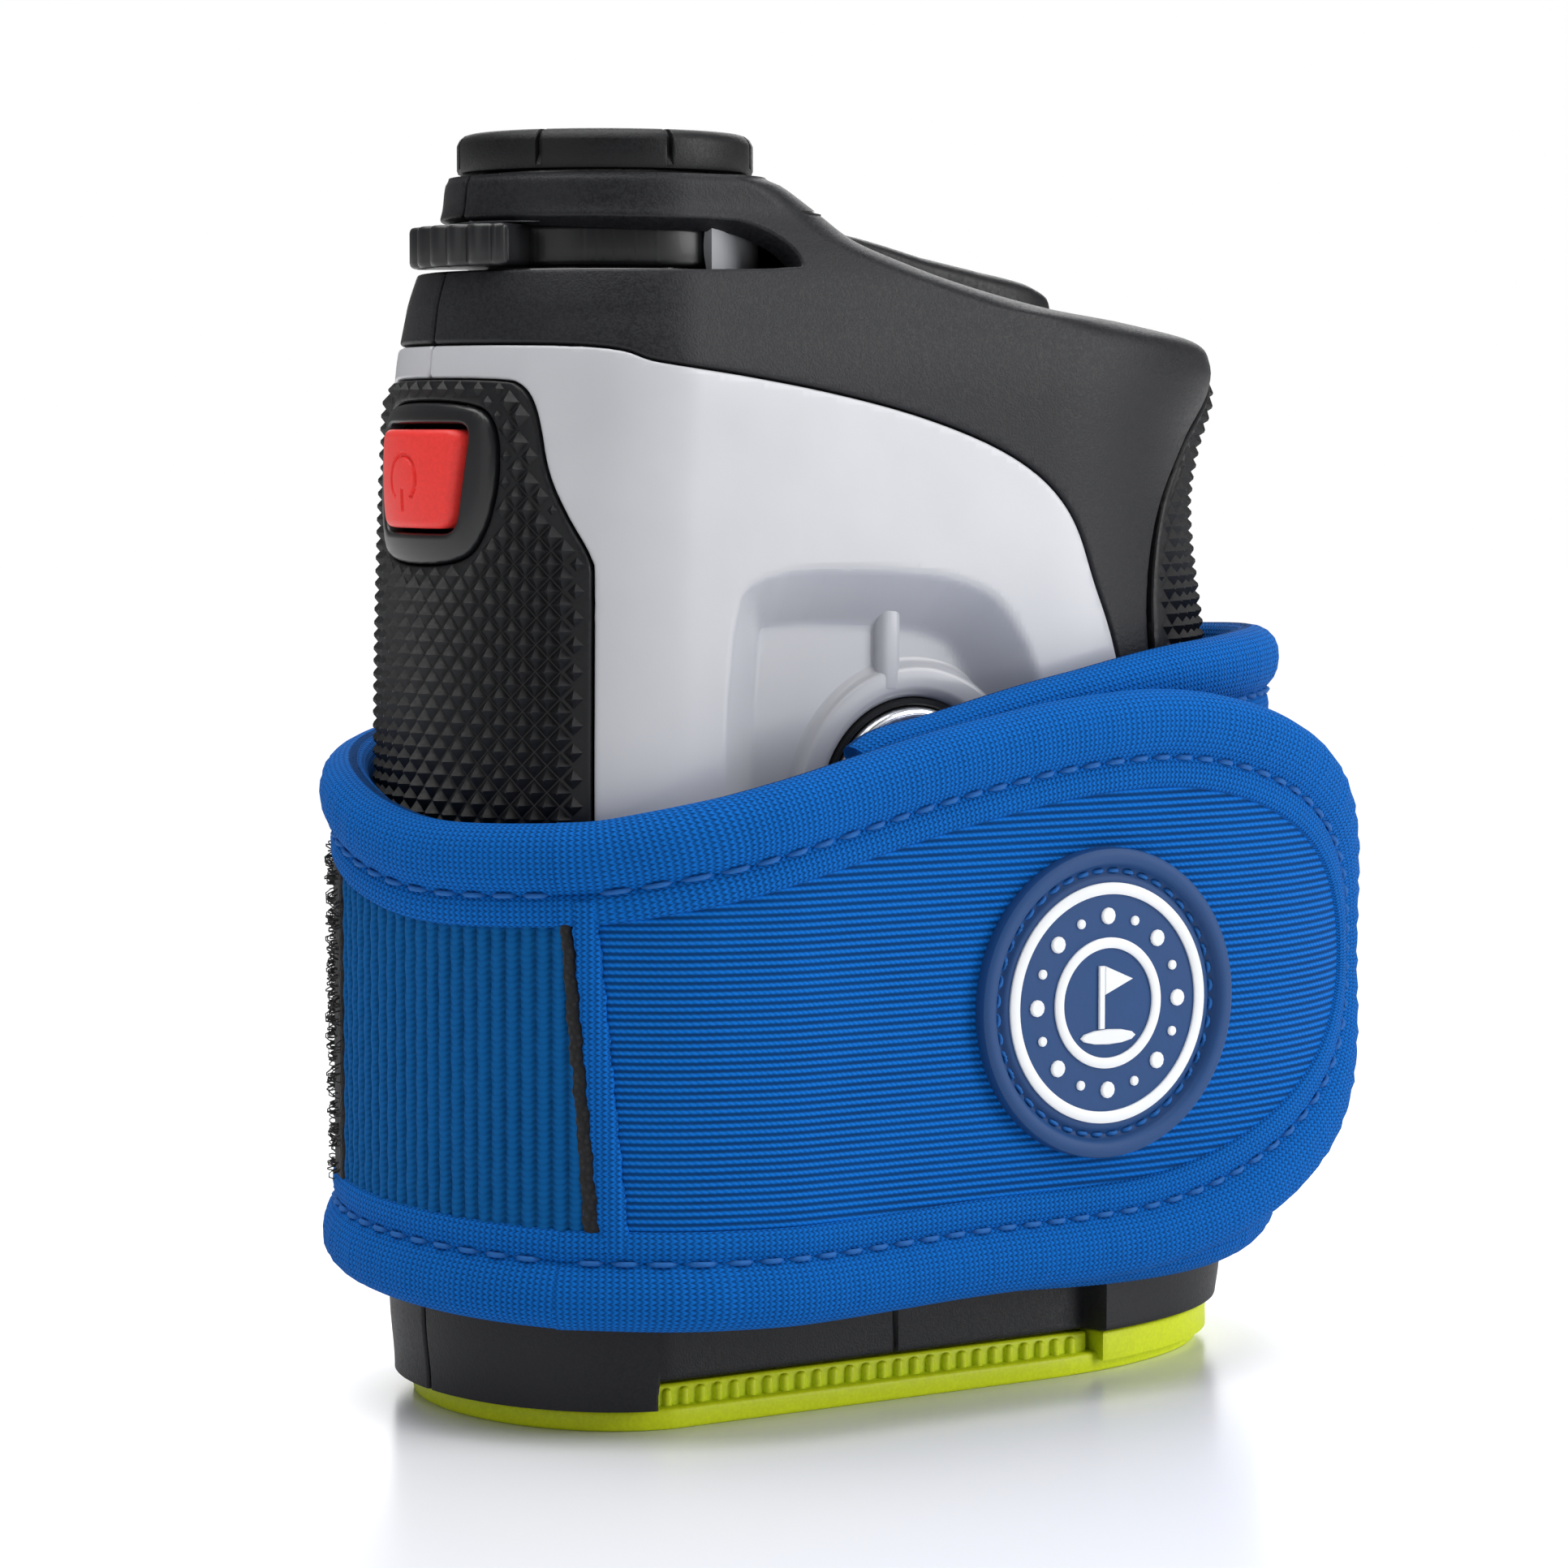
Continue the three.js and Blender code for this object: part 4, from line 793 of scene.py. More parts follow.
def make_finishes(props):
    """Every finish by name."""
    strap, plate = props.strap_colour, props.plate_colour
    m = {
        "black": speckled_plastic("grained_black_plastic", (0.105, 0.107, 0.122), 0.48, 0.2, 0.012, 0.35),
        "collar": speckled_plastic("fine_black_plastic", (0.06, 0.062, 0.072), 0.46, 0.17, 0.008, 0.15),
        "rubber": speckled_plastic("black_rubber", (0.085, 0.087, 0.097), 0.44, 0.3, 0.006, 0.1),
        "gloss": plain_plastic("gloss_black", (0.03, 0.03, 0.035), 0.16, 0.6),
        "island": plain_plastic("smooth_black", (0.085, 0.088, 0.1), 0.36, 0.1),
        "grey": plain_plastic("satin_grey_plastic", plate, 0.34, 0.35),
        "pale": plain_plastic("pale_grey_washer", (0.66, 0.67, 0.69), 0.4),
        "red": speckled_plastic("red_button_plastic", props.button_colour, 0.42, 0.25, 0.006, 0.05),
        "lime": speckled_plastic("lime_plastic", props.bezel_colour, 0.42, 0.3, 0.006, 0.05),
        "steel": metal("zinc_screw_steel", (0.62, 0.62, 0.64), 0.3),
        "cap": metal("turned_nickel", (0.86, 0.87, 0.89), 0.2, (2.7, 51.0)),
        "magnet": metal("nickel_magnet", (0.75, 0.76, 0.78), 0.22, (0.0, 35.0)),
        "brass": metal("gilt_contact", (0.83, 0.68, 0.36), 0.25),
        # The last two numbers of each knit set its painted highlight on the raised loops and its painted
        # shade in the grooves.
        "ribbed": knit("ribbed_blue_neoprene", strap, 0.5, 0.6, "rib", 1.35, 0.3),
        "binding": knit("blue_jersey_binding", strap, 0.5, 0.9, "jersey", 1.2, 0.4),
        "elastic": knit("corded_elastic", props.elastic_colour, CORD, 0.55, "cord", 1.15, 0.5),
        "patch": plain_plastic("soft_blue_pvc", props.patch_colour, 0.6, 0.0, 0.02),
        "white": plain_plastic("soft_white_pvc", (0.93, 0.94, 0.95), 0.45, 0.0, 0.01),
    }
    f = Finish("hook_and_loop_black")
    f.glow((0.4, 0.4, 0.42, 1.0), 0.15, 0.6)
    curls = f.cells(0.5)
    f.colour(f.mix(curls.over(0.1, 0.6), tint((0.14, 0.14, 0.15)), tint((0.03, 0.03, 0.035))))
    f.rough(0.9 - 0.1 * curls)
    f.relief(curls, 0.2)
    m["loops"] = f.material
    f = Finish("stitch_thread")
    twist = f.noise(0.25, 1.0)
    f.colour(f.mix(twist, tint((0.0, 0.30, 0.58)), tint((0.03, 0.42, 0.74))))
    f.rough(0.7 + 0.1 * twist)
    m["thread"] = f.material
    f = Finish("coated_glass", Transmission_Weight=0.85, IOR=1.52)
    film = f.noise(12.0, 2.0)
    f.colour(f.mix(film, tint((0.62, 0.72, 0.86)), tint((0.78, 0.70, 0.88))))
    f.rough(0.02 + 0.03 * film)
    m["glass"] = f.material
    f = Finish("green_circuit_board")
    x, y, z = f.xyz()
    tracks = ((x * 3.1).sine() * (z * 2.3).sine()).over(0.2, 0.5)
    f.colour(f.mix(tracks, tint((0.04, 0.27, 0.13)), tint((0.10, 0.42, 0.20))))
    f.rough(0.45 + 0.1 * tracks)
    f.relief(tracks, 0.04)
    m["board"] = f.material
    f = Finish("pale_floor", Emission_Strength=1.0)
    x, y, z = f.xyz()
    far = ((x * x + y * y).power(0.5)).over(75.0, 380.0)
    f.colour(f.mix(far, (0.9, 0.9, 0.905, 1), (0.0, 0.0, 0.0, 1)))
    f.feed(f.shader.inputs["Emission Color"], f.mix(far, (0, 0, 0, 1), (1, 1, 1, 1)))
    f.rough(0.25 + 0.75 * far)
    m["floor"] = f.material
    return m


# ---------------------------------------------------------------- sizes and colours
def colour_prop(name, description, default):
    return FloatVectorProperty(name=name, description=description, subtype="COLOR", size=3, min=0, max=1,
                               default=default)


def length_prop(name, description, default):
    return FloatProperty(name=name, description=description, default=default, min=0.0, subtype="DISTANCE",
                         unit="LENGTH")


class RangefinderColours(bpy.types.PropertyGroup):
    """Colours of the finishes, as ordinary screen colours."""
    plate_colour: colour_prop("Plates", "Side plates of the casing", (0.765, 0.77, 0.79))
    button_colour: colour_prop("Button", "Fire button", (0.93, 0.24, 0.22))
    bezel_colour: colour_prop("Bezel", "Front bezel", (0.88, 0.94, 0.10))
    strap_colour: colour_prop("Strap", "Knitted neoprene and its bindings", (0.0, 0.38, 0.72))
    elastic_colour: colour_prop("Elastic", "Corded elastic", (0.0, 0.32, 0.56))
    patch_colour: colour_prop("Patch", "Soft round patch", (0.0, 0.24, 0.46))


class RangefinderSizes(bpy.types.PropertyGroup):
    """Sizes of the parts that a user would change."""
    diamond_pitch: length_prop("Diamond pitch", "Spacing of the grip pads' diamonds", 2.2 * MM)
    diamond_height: length_prop("Diamond height", "Height of the grip pads' diamonds", 0.75 * MM)
    bezel_ribs: IntProperty(name="Bezel ribs", description="Fine ribs along each side of the front bezel",
                            default=26, min=4, max=60)
    loop_count: IntProperty(name="Loops", description="Curled fibres of the hook-and-loop panel",
                            default=4200, min=0, max=20000)


FINISHES = {}
SHARED = {}


def finish(name):
    if not FINISHES:
        FINISHES.update(make_finishes(bpy.context.scene.rangefinder_colours))
    return FINISHES[name]


def casing_skin():
    """The body's skin with every outline's distances, made once and copied."""
    if "skin" not in SHARED:
        point, normal, faces = body_skin()
        SHARED["skin"] = (point, normal, faces, fields_of(point))
    point, normal, faces, fields = SHARED["skin"]
    return Skin(point, normal, faces, **fields)


def add_field(skin, name, values):
    skin.names.append(name)
    skin.rows = np.column_stack([skin.rows, values])


def shelled(skin, name, rounding, depth, lift=0.0, under=False):
    """The skin as a closed shell: rounded rim outside, and inside too with under."""
    d = np.clip(skin[name], 0, rounding)
    drop = rounding - np.sqrt(np.maximum(rounding**2 - (rounding - d) ** 2, 0))
    point, normal = skin.rows[:, :3], skin.rows[:, 3:6]
    top = point + normal * (lift - drop)[:, None]
    base = point + normal * (lift - depth + drop * under)[:, None]
    edges = np.vstack([skin.faces[:, [0, 1]], skin.faces[:, [1, 2]], skin.faces[:, [2, 0]]])
    _, index, counts = np.unique(np.sort(edges, 1), axis=0, return_index=True, return_counts=True)
    rim = edges[index[counts == 1]]
    n = len(top)
    walls = np.stack([rim[:, 1], rim[:, 0], rim[:, 0] + n, rim[:, 1] + n], 1)
    faces = [*skin.faces.tolist(), *(skin.faces[:, ::-1] + n).tolist(), *walls.tolist()]
    return np.vstack([top, base]), faces


def flat_slab(x, y, field, plane, level, rounding, relief=None, levels=()):
    """A flat plate cut from a grid: plane 'Z' faces up, '-Y' towards the battery side, '-X' the button side.
    field(a, b) is the distance inside its outline, relief(a, b) sinks its face, and levels are extra cuts."""
    aa, bb = np.meshgrid(x, y, indexing="ij")
    a, b = aa.ravel(), bb.ravel()
    faces = grid_faces(len(x), len(y), False)
    if plane == "Z":
        point = np.stack([a, b, np.full_like(a, level)], -1)
        normal = np.tile([0.0, 0, 1], (len(a), 1))
    elif plane == "-Y":
        point = np.stack([a, np.full_like(a, level), b], -1)
        normal = np.tile([0.0, -1, 0], (len(a), 1))
    else:
        point = np.stack([np.full_like(a, level), a, b], -1)
        normal = np.tile([-1.0, 0, 0], (len(a), 1))
    fields = {"edge": field(a, b)}
    if relief is not None:
        fields["mark"] = relief(a, b)
    skin = Skin(point, normal, faces, **fields)
    skin.trimmed("edge", rounding)
    for cut in levels:
        skin.split("mark", cut)
    return skin


# ---------------------------------------------------------------- casing
GROOVE_X = 0.5
GROOVE_DEPTH = 0.35
CASING_THICK, CASING_RIM = 2.2, 0.28  # thickness, and rounding of its edges
PLATE_THICK = 1.55
BEZEL_TOP = 1.85
BEZEL_BLOCK_TOP = 3.9  # the casing starts above the bezel's thicker end here
RECESS_SLOPE = 5.6
RECESS_DEPTH = {-1: 3.7, 1: 1.2}
BOSS_X, BOSS_Z = 2.7, 51.0
CAP_R = 8.5


def casing_half(side):
    skin = casing_skin()
    y = skin.rows[:, 1]
    below = BEZEL_BLOCK_TOP - skin.rows[:, 2]
    open_side = np.minimum.reduce([skin["notch"], below])
    open_side = np.maximum(open_side, np.minimum(skin.rows[:, 0] - NOTCH[1], below))
    black = np.minimum.reduce([
        -skin["face"] - 0.2, -skin["finger_pad"] - 0.15, -skin["slot"], side * y - SEAM, -open_side])
    add_field(skin, "edge", black)
    add_field(skin, "groove", 0.32 - np.abs(skin.rows[:, 0] - GROOVE_X))
    skin.trimmed("edge", CASING_RIM)
    for level in (0.0, 0.45, 0.9):
        skin.split("notch", level)
    skin.split("groove", 0.0)
    skin.split("groove", 0.25)
    sunk = np.clip(NOTCH[2] * eased(skin["notch"] / 0.9), 0, None)
    low = np.clip((12.5 - skin.rows[:, 2]) / 0.5, 0, 1)
    sunk = sunk + GROOVE_DEPTH * eased(skin["groove"] / 0.25) * low * (np.abs(skin.rows[:, 1]) > 15)
    skin.rows[:, 1] -= side * sunk
    return shelled(skin, "edge", CASING_RIM, CASING_THICK)


def ring_between(outer, inner, high, low):
    """A flat ring between two outlines of the same number of points, closed."""
    o, i = np.asarray(outer)[:, :2], np.asarray(inner)[:, :2]
    r = 0.18
    shrink = o + (i - o) / np.linalg.norm(i - o, axis=1, keepdims=True) * r
    rings = [(shrink, high), (i, high), (i, low), (o, low), (o, high - r), (shrink, high)]
    return skinned([np.column_stack([xy, np.full(len(xy), z)]) for xy, z in rings], ends=False)


def slot_lining():
    u = np.linspace(0, 4, 240, endpoint=False)
    parts = []
    for height, high, low, inset in (
        (SLOT_LOW, SLOT_LOW, 95.5, 0.5), (SLOT_HIGH, 101.5, SLOT_HIGH, 0.5), (104.2, BODY_HIGH, 103.0, 0.12),
    ):
        point, normal = body_frame(u, np.full_like(u, height))
        flat = normal * [1, 1, 0]
        outer = point - flat / np.linalg.norm(flat, axis=1, keepdims=True) * inset
        away = outer[:, :2] - [EYE_X, 0]
        inner = [EYE_X, 0] + away / np.linalg.norm(away, axis=1, keepdims=True) * 10.25
        parts.append(ring_between(outer, inner, high, low))
    return merged(parts)


def slot_walls():
    """The pale washer above the lever, and the curved wall at each end of its slot."""
    washer = [
        (10.2, 100.3), (13.0, 100.3), (13.1, 100.4), (13.1, 100.5), (13.0, 100.6), (10.2, 100.6),
        (10.2, 100.3),
    ]
    parts = [turned(washer, 120, (EYE_X, 0, 0))]
    for way in (-1, 1):
        a = np.radians(np.linspace(38.0, 78.5, 28)) * way
        bow = 0.35 * np.sin(np.linspace(0, np.pi, 7))
        section = [(12.45 - b, z) for b, z in zip(bow, np.linspace(96.4, 100.35, 7))]
        section += [(13.1, 100.35), (13.1, 96.4)]
        rings = [[(EYE_X + r * np.cos(q), r * np.sin(q), z) for r, z in section] for q in a]
        parts.append(skinned(rings))
    return merged(parts)


class MakeCasing(bpy.types.Operator):
    """The two black casing halves, with the lever slot and the sunk sides of the front end"""
    bl_idname, bl_label = "rangefinder.casing", "Casing"

    def execute(self, context):
        for side, name, node in (
            (-1, "casing_near_half", "housing_left"), (1, "casing_far_half", "housing_right"),
        ):
            make(name, *casing_half(side), finish("black"), "unit", "black", (node,), sharp=40)
        make("slot_lining", *slot_lining(), finish("gloss"), "unit", "black", sharp=40)
        make("washer_and_stops", *slot_walls(), finish("pale"), "unit", "pale", ("lever_washer",), sharp=40)
        return {"FINISHED"}


def crisp(t, r):
    """A straight slope from 0 to 1 whose two ends are rounded over the share r."""
    rise = np.where(t < r, t * t / (2 * r), t - r / 2)
    rise = np.where(t > 1 - r, 1 - r - (1 - t) ** 2 / (2 * r), rise)
    return np.clip(rise / (1 - r), 0, 1)


def plate_half(side):
    skin = casing_skin()
    x, y, z = skin.rows[:, :3].T
    kept = [skin["face"], -skin["top_pad"] - 0.08, side * y - 0.06]
    if side < 0:
        kept.append(np.hypot(x - BOSS_X, z - BOSS_Z) - 11.2)
    add_field(skin, "edge", np.minimum.reduce(kept))
    skin.trimmed("edge", CASING_RIM)
    for share in (0.0, 0.08, 0.16, 0.84, 0.92, 1.0):
        skin.split("recess", share * RECESS_SLOPE)
    t = np.clip(skin["recess"] / RECESS_SLOPE, 0, 1)
    slope = crisp(t, 0.16)
    skin.rows[:, 1] -= side * RECESS_DEPTH[side] * slope
    return shelled(skin, "edge", CASING_RIM, PLATE_THICK)


def boss_ring():
    profile = [
        (13.2, 15.2), (12.6, 15.32), (12.2, 15.55), (12.02, 15.9), (11.95, 16.1), (11.78, 16.25),
        (11.5, 16.3), (10.3, 16.3), (10.0, 16.24), (9.62, 15.9), (9.4, 15.7), (9.3, 15.5), (9.3, 12.6),
        (11.3, 12.6),
        (12.6, 14.7), (13.2, 15.2),
    ]
    return turned(profile, 128, (BOSS_X, 0, BOSS_Z), "-Y")


class MakePlates(bpy.types.Operator):
    """The grey side plates, with their sunk panels, the battery boss and the rib above it"""
    bl_idname, bl_label = "rangefinder.plates", "Side plates"

    def execute(self, context):
        rib = rounded_box((-0.95, -16.35, 60.5), (1.35, -13.2, 71.3), 0.8, 5)
        near = merged([plate_half(-1), boss_ring(), rib])
        make("side_plate_near", *near, finish("grey"), "unit", "grey", ("faceplate_left",), sharp=50)
        make("side_plate_far", *plate_half(1), finish("grey"), "unit", "grey", ("faceplate_right",), sharp=50)
        return {"FINISHED"}


# ---------------------------------------------------------------- grips
PAD_GAP, PAD_RIM, PAD_LIFT = 0.08, 0.3, 0.25  # gap round a pad, rounding of its edge, rise above the casing


def diamonds(end, inside_of, low, lift, pitch, height):
    """Square pyramids with blunt tips in a staggered lattice over one end of the body."""
    heights = np.arange(low, 89.0, pitch / 2)
    reach = 26.0
    table_u = np.linspace(end - 0.5, end + 0.5, 400)
    corners = {}

    def u_at(z, distance):
        key = round(z, 4)
        if key not in corners:
            p = body_point(table_u, np.full_like(table_u, min(z, BODY_HIGH)))
            s = np.r_[0, np.cumsum(np.linalg.norm(np.diff(p, axis=0), axis=1))]
            corners[key] = s - np.interp(end, table_u, s)
        return np.interp(distance, corners[key], table_u)

    centres = []
    for j, z in enumerate(heights):
        a = np.arange(-reach, reach, pitch) + (pitch / 2 if j % 2 else 0.0)
        centres += [(q, z) for q in a]
    centres = np.array(centres)
    u = np.array([u_at(z, a) for a, z in centres])
    p = body_point(u, centres[:, 1])
    inside = inside_of(p[:, [1, 2]])
    parts_v, parts_f = [], []
    blunt = 0.12
    for (a, z), room in zip(centres[inside > 0.55], inside[inside > 0.55]):
        w = min(pitch / 2 * 0.985, room - 0.12)
        rim = [(w, 0), (0, w), (-w, 0), (0, -w)]
        tall = height * w / (pitch / 2)
        ring_a = np.array([a + r[0] for r in rim] + [a + r[0] * blunt for r in rim])
        ring_z = np.array([z + r[1] for r in rim] + [z + r[1] * blunt for r in rim])
        uu = np.array([u_at(zz, aa) for aa, zz in zip(ring_a, ring_z)])
        point, normal = body_frame(uu, ring_z)
        up = np.r_[np.full(4, lift - 0.05), np.full(4, lift + tall)]
        start = 8 * len(parts_v)
        parts_v.append(point + normal * up[:, None])
        sides = [[k, (k + 1) % 4, 4 + (k + 1) % 4, 4 + k] for k in range(4)]
        parts_f += [[start + k for k in face] for face in (*sides, [4, 5, 6, 7], [3, 2, 1, 0])]
    return np.vstack(parts_v), parts_f


class MakeGrips(bpy.types.Operator):
    """The two rubber grips with raised diamonds"""
    bl_idname, bl_label = "rangefinder.grips", "Rubber grips"

    def execute(self, context):
        sizes = context.scene.rangefinder_sizes
        pitch, height = sizes.diamond_pitch / MM, sizes.diamond_height / MM
        outline, island = smooth_loop(TOP_PAD, 2), smooth_loop(ISLAND, 3)
        finger = smooth_loop(FINGER_PAD, 3)

        def button_side(p):
            return np.minimum(inside_distance(p, outline), -inside_distance(p, island))

        def finger_side(p):
            return inside_distance(p, finger)

        for name, node, end, low, depth, edge_of, inside_of in (
            ("button_side_grip", "top_grip_pad", 0.5, 49.0, 1.9,
             lambda k: np.minimum.reduce([k["top_pad"] - PAD_GAP, -k["island"] - PAD_GAP]), button_side),
            ("finger_side_grip", "finger_grip_pad", 2.5, 58.0, 1.8,
             lambda k: k["finger_pad"] - PAD_GAP, finger_side),
        ):
            skin = casing_skin()
            add_field(skin, "edge", edge_of(skin))
            skin.trimmed("edge", PAD_RIM)
            base = shelled(skin, "edge", PAD_RIM, depth, PAD_LIFT)
            v, f = merged([base, diamonds(end, inside_of, low, PAD_LIFT, pitch, height)])
            make(name, v, f, finish("rubber"), "unit", "rubber", (node,), sharp=25)
        return {"FINISHED"}


# ---------------------------------------------------------------- fire button
BUTTON_Z = 79.0
BUTTON_FACE_X = -38.2
BUTTON_ROOM = 0.45  # round the button, in its island
BUTTON_BOW = 12.5  # radius of its face across the body


def button_outline(grow):
    top, bottom, high = 6.4, 5.3, 4.1
    corners = [
        [top + grow, BUTTON_Z + high + grow], [-top - grow, BUTTON_Z + high + grow],
        [-bottom - grow, BUTTON_Z - high - grow], [bottom + grow, BUTTON_Z - high - grow],
    ]
    p = np.array(corners)
    r = 1.5
    out = []
    for k in range(4):
        a, b, c = p[k - 1], p[k], p[(k + 1) % 4]
        start = b + (a - b) / np.linalg.norm(a - b) * r
        end = b + (c - b) / np.linalg.norm(c - b) * r
        for t in np.linspace(0, 1, 8):
            out.append((1 - t) ** 2 * start + 2 * t * (1 - t) * b + t**2 * end)
    return np.array(out)


def power_mark(y, z):
    """Distance inside a plain standby sign: an open ring and a short bar at its gap."""
    dz = z - BUTTON_Z
    r = np.hypot(y, dz)
    from_gap = np.abs(np.arctan2(y, -dz))
    ring = np.minimum(0.26 - np.abs(r - 2.0), (from_gap - math.radians(36)) * r)
    bar = np.minimum(0.26 - np.abs(y), np.minimum(dz + 2.75, -0.75 - dz))
    return np.maximum(ring, bar)


class MakeButton(bpy.types.Operator):
    """The red fire button with its sunk sign, and the smooth island round it"""
    bl_idname, bl_label = "rangefinder.button", "Fire button"

    def execute(self, context):
        skin = casing_skin()
        hole = -inside_distance(skin.rows[:, [1, 2]], button_outline(BUTTON_ROOM))
        add_field(skin, "edge", np.minimum.reduce([skin["island"] - PAD_GAP, hole]))
        skin.trimmed("edge", PAD_RIM)
        t = 1 - np.clip(skin["island"] / 3.0, 0, 1)
        dome = 0.25 + 0.75 * np.sqrt(1 - t * t)
        skin.rows[:, :3] += skin.rows[:, 3:6] * dome[:, None]
        shape = shelled(skin, "edge", PAD_RIM, 1.4)
        make("button_island", *shape, finish("island"), "unit", "black", ("button_surround",), sharp=50)
        y, z = np.arange(-6.8, 6.81, 0.13), np.arange(74.6, 83.4, 0.13)
        outline = button_outline(0.0)
        skin = flat_slab(
            y, z, lambda a, b: inside_distance(np.stack([a, b], -1), outline), "-X", BUTTON_FACE_X, 0.6,
            power_mark, (0.0, 0.05, 0.14))
        yy = skin.rows[:, 1]
        skin.rows[:, 0] += BUTTON_BOW - np.sqrt(BUTTON_BOW**2 - yy**2) + 0.3 * eased(skin["mark"] / 0.14)
        skin.rows[:, 0] += 0.012 * (skin.rows[:, 2] - BUTTON_Z) ** 2
        body = shelled(skin, "edge", 0.6, 2.4)
        stem = rounded_box((-36.2, -1.6, BUTTON_Z - 1.6), (-31.9, 1.6, BUTTON_Z + 1.6), 0.3)
        v, f = merged([body, stem])
        make("fire_button_key", v, f, finish("red"), "button", "red", ("fire_button",), sharp=50)
        return {"FINISHED"}


# ---------------------------------------------------------------- rear cover, eyepiece and lever
class MakeSpine(bpy.types.Operator):
    """The raised cover behind the eyepiece, on the sloping top"""
    bl_idname, bl_label = "rangefinder.spine", "Rear cover"

    def execute(self, context):
        top = np.array([[1.0, 101.2], [5.4, 100.1], [12.0, 98.4], [18.6, 97.2], [23.6, 96.5], [26.6, 95.8],
                        [27.8, 94.6]])
        low = np.array([[1.0, 98.9], [10.0, 94.9], [20.0, 92.6], [27.8, 91.6]])
        x = 14.4 - 13.4 * np.cos(np.linspace(0.02, np.pi - 0.02, 60))
        turn = np.linspace(0, 2 * np.pi, 48, endpoint=False)
        rings = []
        for q in x:
            high, base = np.interp(q, *top.T), np.interp(q, *low.T)
            t = (q - 14.4) / 13.45
            share = (1 - abs(t) ** 3.2) ** (1 / 2.2)
            middle, tall = (high + base) / 2, (high - base) / 2
            c, s = np.cos(turn), np.sin(turn)
            y = 5.0 * share * np.sign(c) * np.abs(c) ** 0.6
            z = middle + tall * (0.4 + 0.6 * share) * np.sign(s) * np.abs(s) ** 0.62
            rings.append(np.stack([np.full_like(y, q), y, z], -1))
        shape = skinned(rings)
        make("rear_cover", *shape, finish("rubber"), "unit", "rubber", ("rear_spine_cover",), sharp=60)
        return {"FINISHED"}


COLLAR_TOP = BODY_HIGH
EYECUP_GROOVES, FIRST_GROOVE = 7, math.radians(-95.7)


class MakeEyepiece(bpy.types.Operator):
    """The eyecup with its grooved rim, the tube, the sliding cell and its two lenses"""
    bl_idname, bl_label = "rangefinder.eyepiece", "Eyepiece"

    def execute(self, context):
        centre = (EYE_X, 0, 0)
        low = COLLAR_TOP + 0.3
        cup = [
            (10.4, low), (12.25, low), (12.5, low + 0.12), (12.6, low + 0.4), (12.6, low + 1.4),
            (12.6, low + 2.4), (12.56, 107.15), (12.35, 107.55), (12.0, 107.85), (11.6, 107.98),
            (11.0, 108.0), (10.3, 107.95),
            (9.9, 107.75), (9.55, 107.2), (9.1, 106.3), (8.8, 105.6), (8.7, 105.0), (8.7, COLLAR_TOP + 0.5),
            (10.4, COLLAR_TOP + 0.5), (10.4, low),
        ]
        step = 360 / EYECUP_GROOVES
        fine = np.array([0, 0.5, 0.9, 1.1, 1.3, 1.5, 2.2, 3.6, 5.5, 8.0, 11.2, 15.0, 20.0, step / 2])
        half = np.r_[fine, step - fine[::-1][1:]][:-1]
        angles = np.radians(np.concatenate([k * step + half for k in range(EYECUP_GROOVES)]))
        from_groove = np.abs(np.mod(np.degrees(angles) + step / 2, step) - step / 2)
        cut = 0.55 * (1 - eased((from_groove - 0.9) / 0.5))
        profile = np.asarray(cup)
        outside = np.array([(r > 10.95) and (z > low + 0.9) for r, z in cup])
        radius = profile[:, :1] - outside[:, None] * cut[None]
        turn = angles + FIRST_GROOVE
        height = np.broadcast_to(profile[:, 1:], radius.shape)
        rings = np.stack([EYE_X + radius * np.cos(turn), radius * np.sin(turn), height], -1)
        shape = skinned(rings, ends=False)
        make("eyecup_ring", *shape, finish("collar"), "eye_ring", "black", ("eyecup",), sharp=35)
        tube_wall = [(10.0, 91.0), (10.0, 104.2), (9.8, 104.4), (9.1, 104.4), (8.9, 104.2), (8.9, 92.3),
                     (6.8, 92.2), (6.8, 91.0), (10.0, 91.0)]
        shape = turned(tube_wall, 96, centre)
        make("eyepiece_barrel", *shape, finish("gloss"), "unit", "gloss", ("eyepiece_tube",), sharp=35)
        cell = [(8.75, 94.6), (8.75, 102.4), (8.55, 102.6), (8.2, 102.6), (7.5, 101.9), (7.5, 94.8),
                (7.7, 94.6), (8.75, 94.6)]
        shape = turned(cell, 96, centre)
        make("focus_cell", *shape, finish("gloss"), "eye_cell", "gloss", ("eyepiece_cell",), sharp=35)
        for name, node, z, r, body, x in (
            ("eye_lens_glass", "eye_lens", 101.0, 7.3, "eye_cell", EYE_X),
            ("field_lens_glass", "field_lens", 97.0, 7.3, "eye_cell", EYE_X),
            ("objective_glass", "objective_lens", 4.6, 10.2, "unit", EYE_X),
            ("laser_glass", "laser_lens", 4.4, 7.9, "unit", LASER_X),
        ):
            t = np.linspace(0.02, 1, 12)
            under = [(r * q, z - 0.5 - 0.8 * (1 - q * q)) for q in t]
            over = [(r * q, z + 0.5 + 0.8 * (1 - q * q)) for q in t[::-1]]
            v, f = turned(under + over, 72, (x, 0, 0))
            f += [list(range(72))[::-1], list(range(len(v) - 72, len(v)))]
            make(name, v, f, finish("glass"), body, "glass", (node,), sharp=35)
        return {"FINISHED"}


LEVER_FAN, LEVER_SCALLOPS, LEVER_REACH = math.radians(28), 6, 16.9
LEVER_TOP, LEVER_THICK = 100.1, 3.5


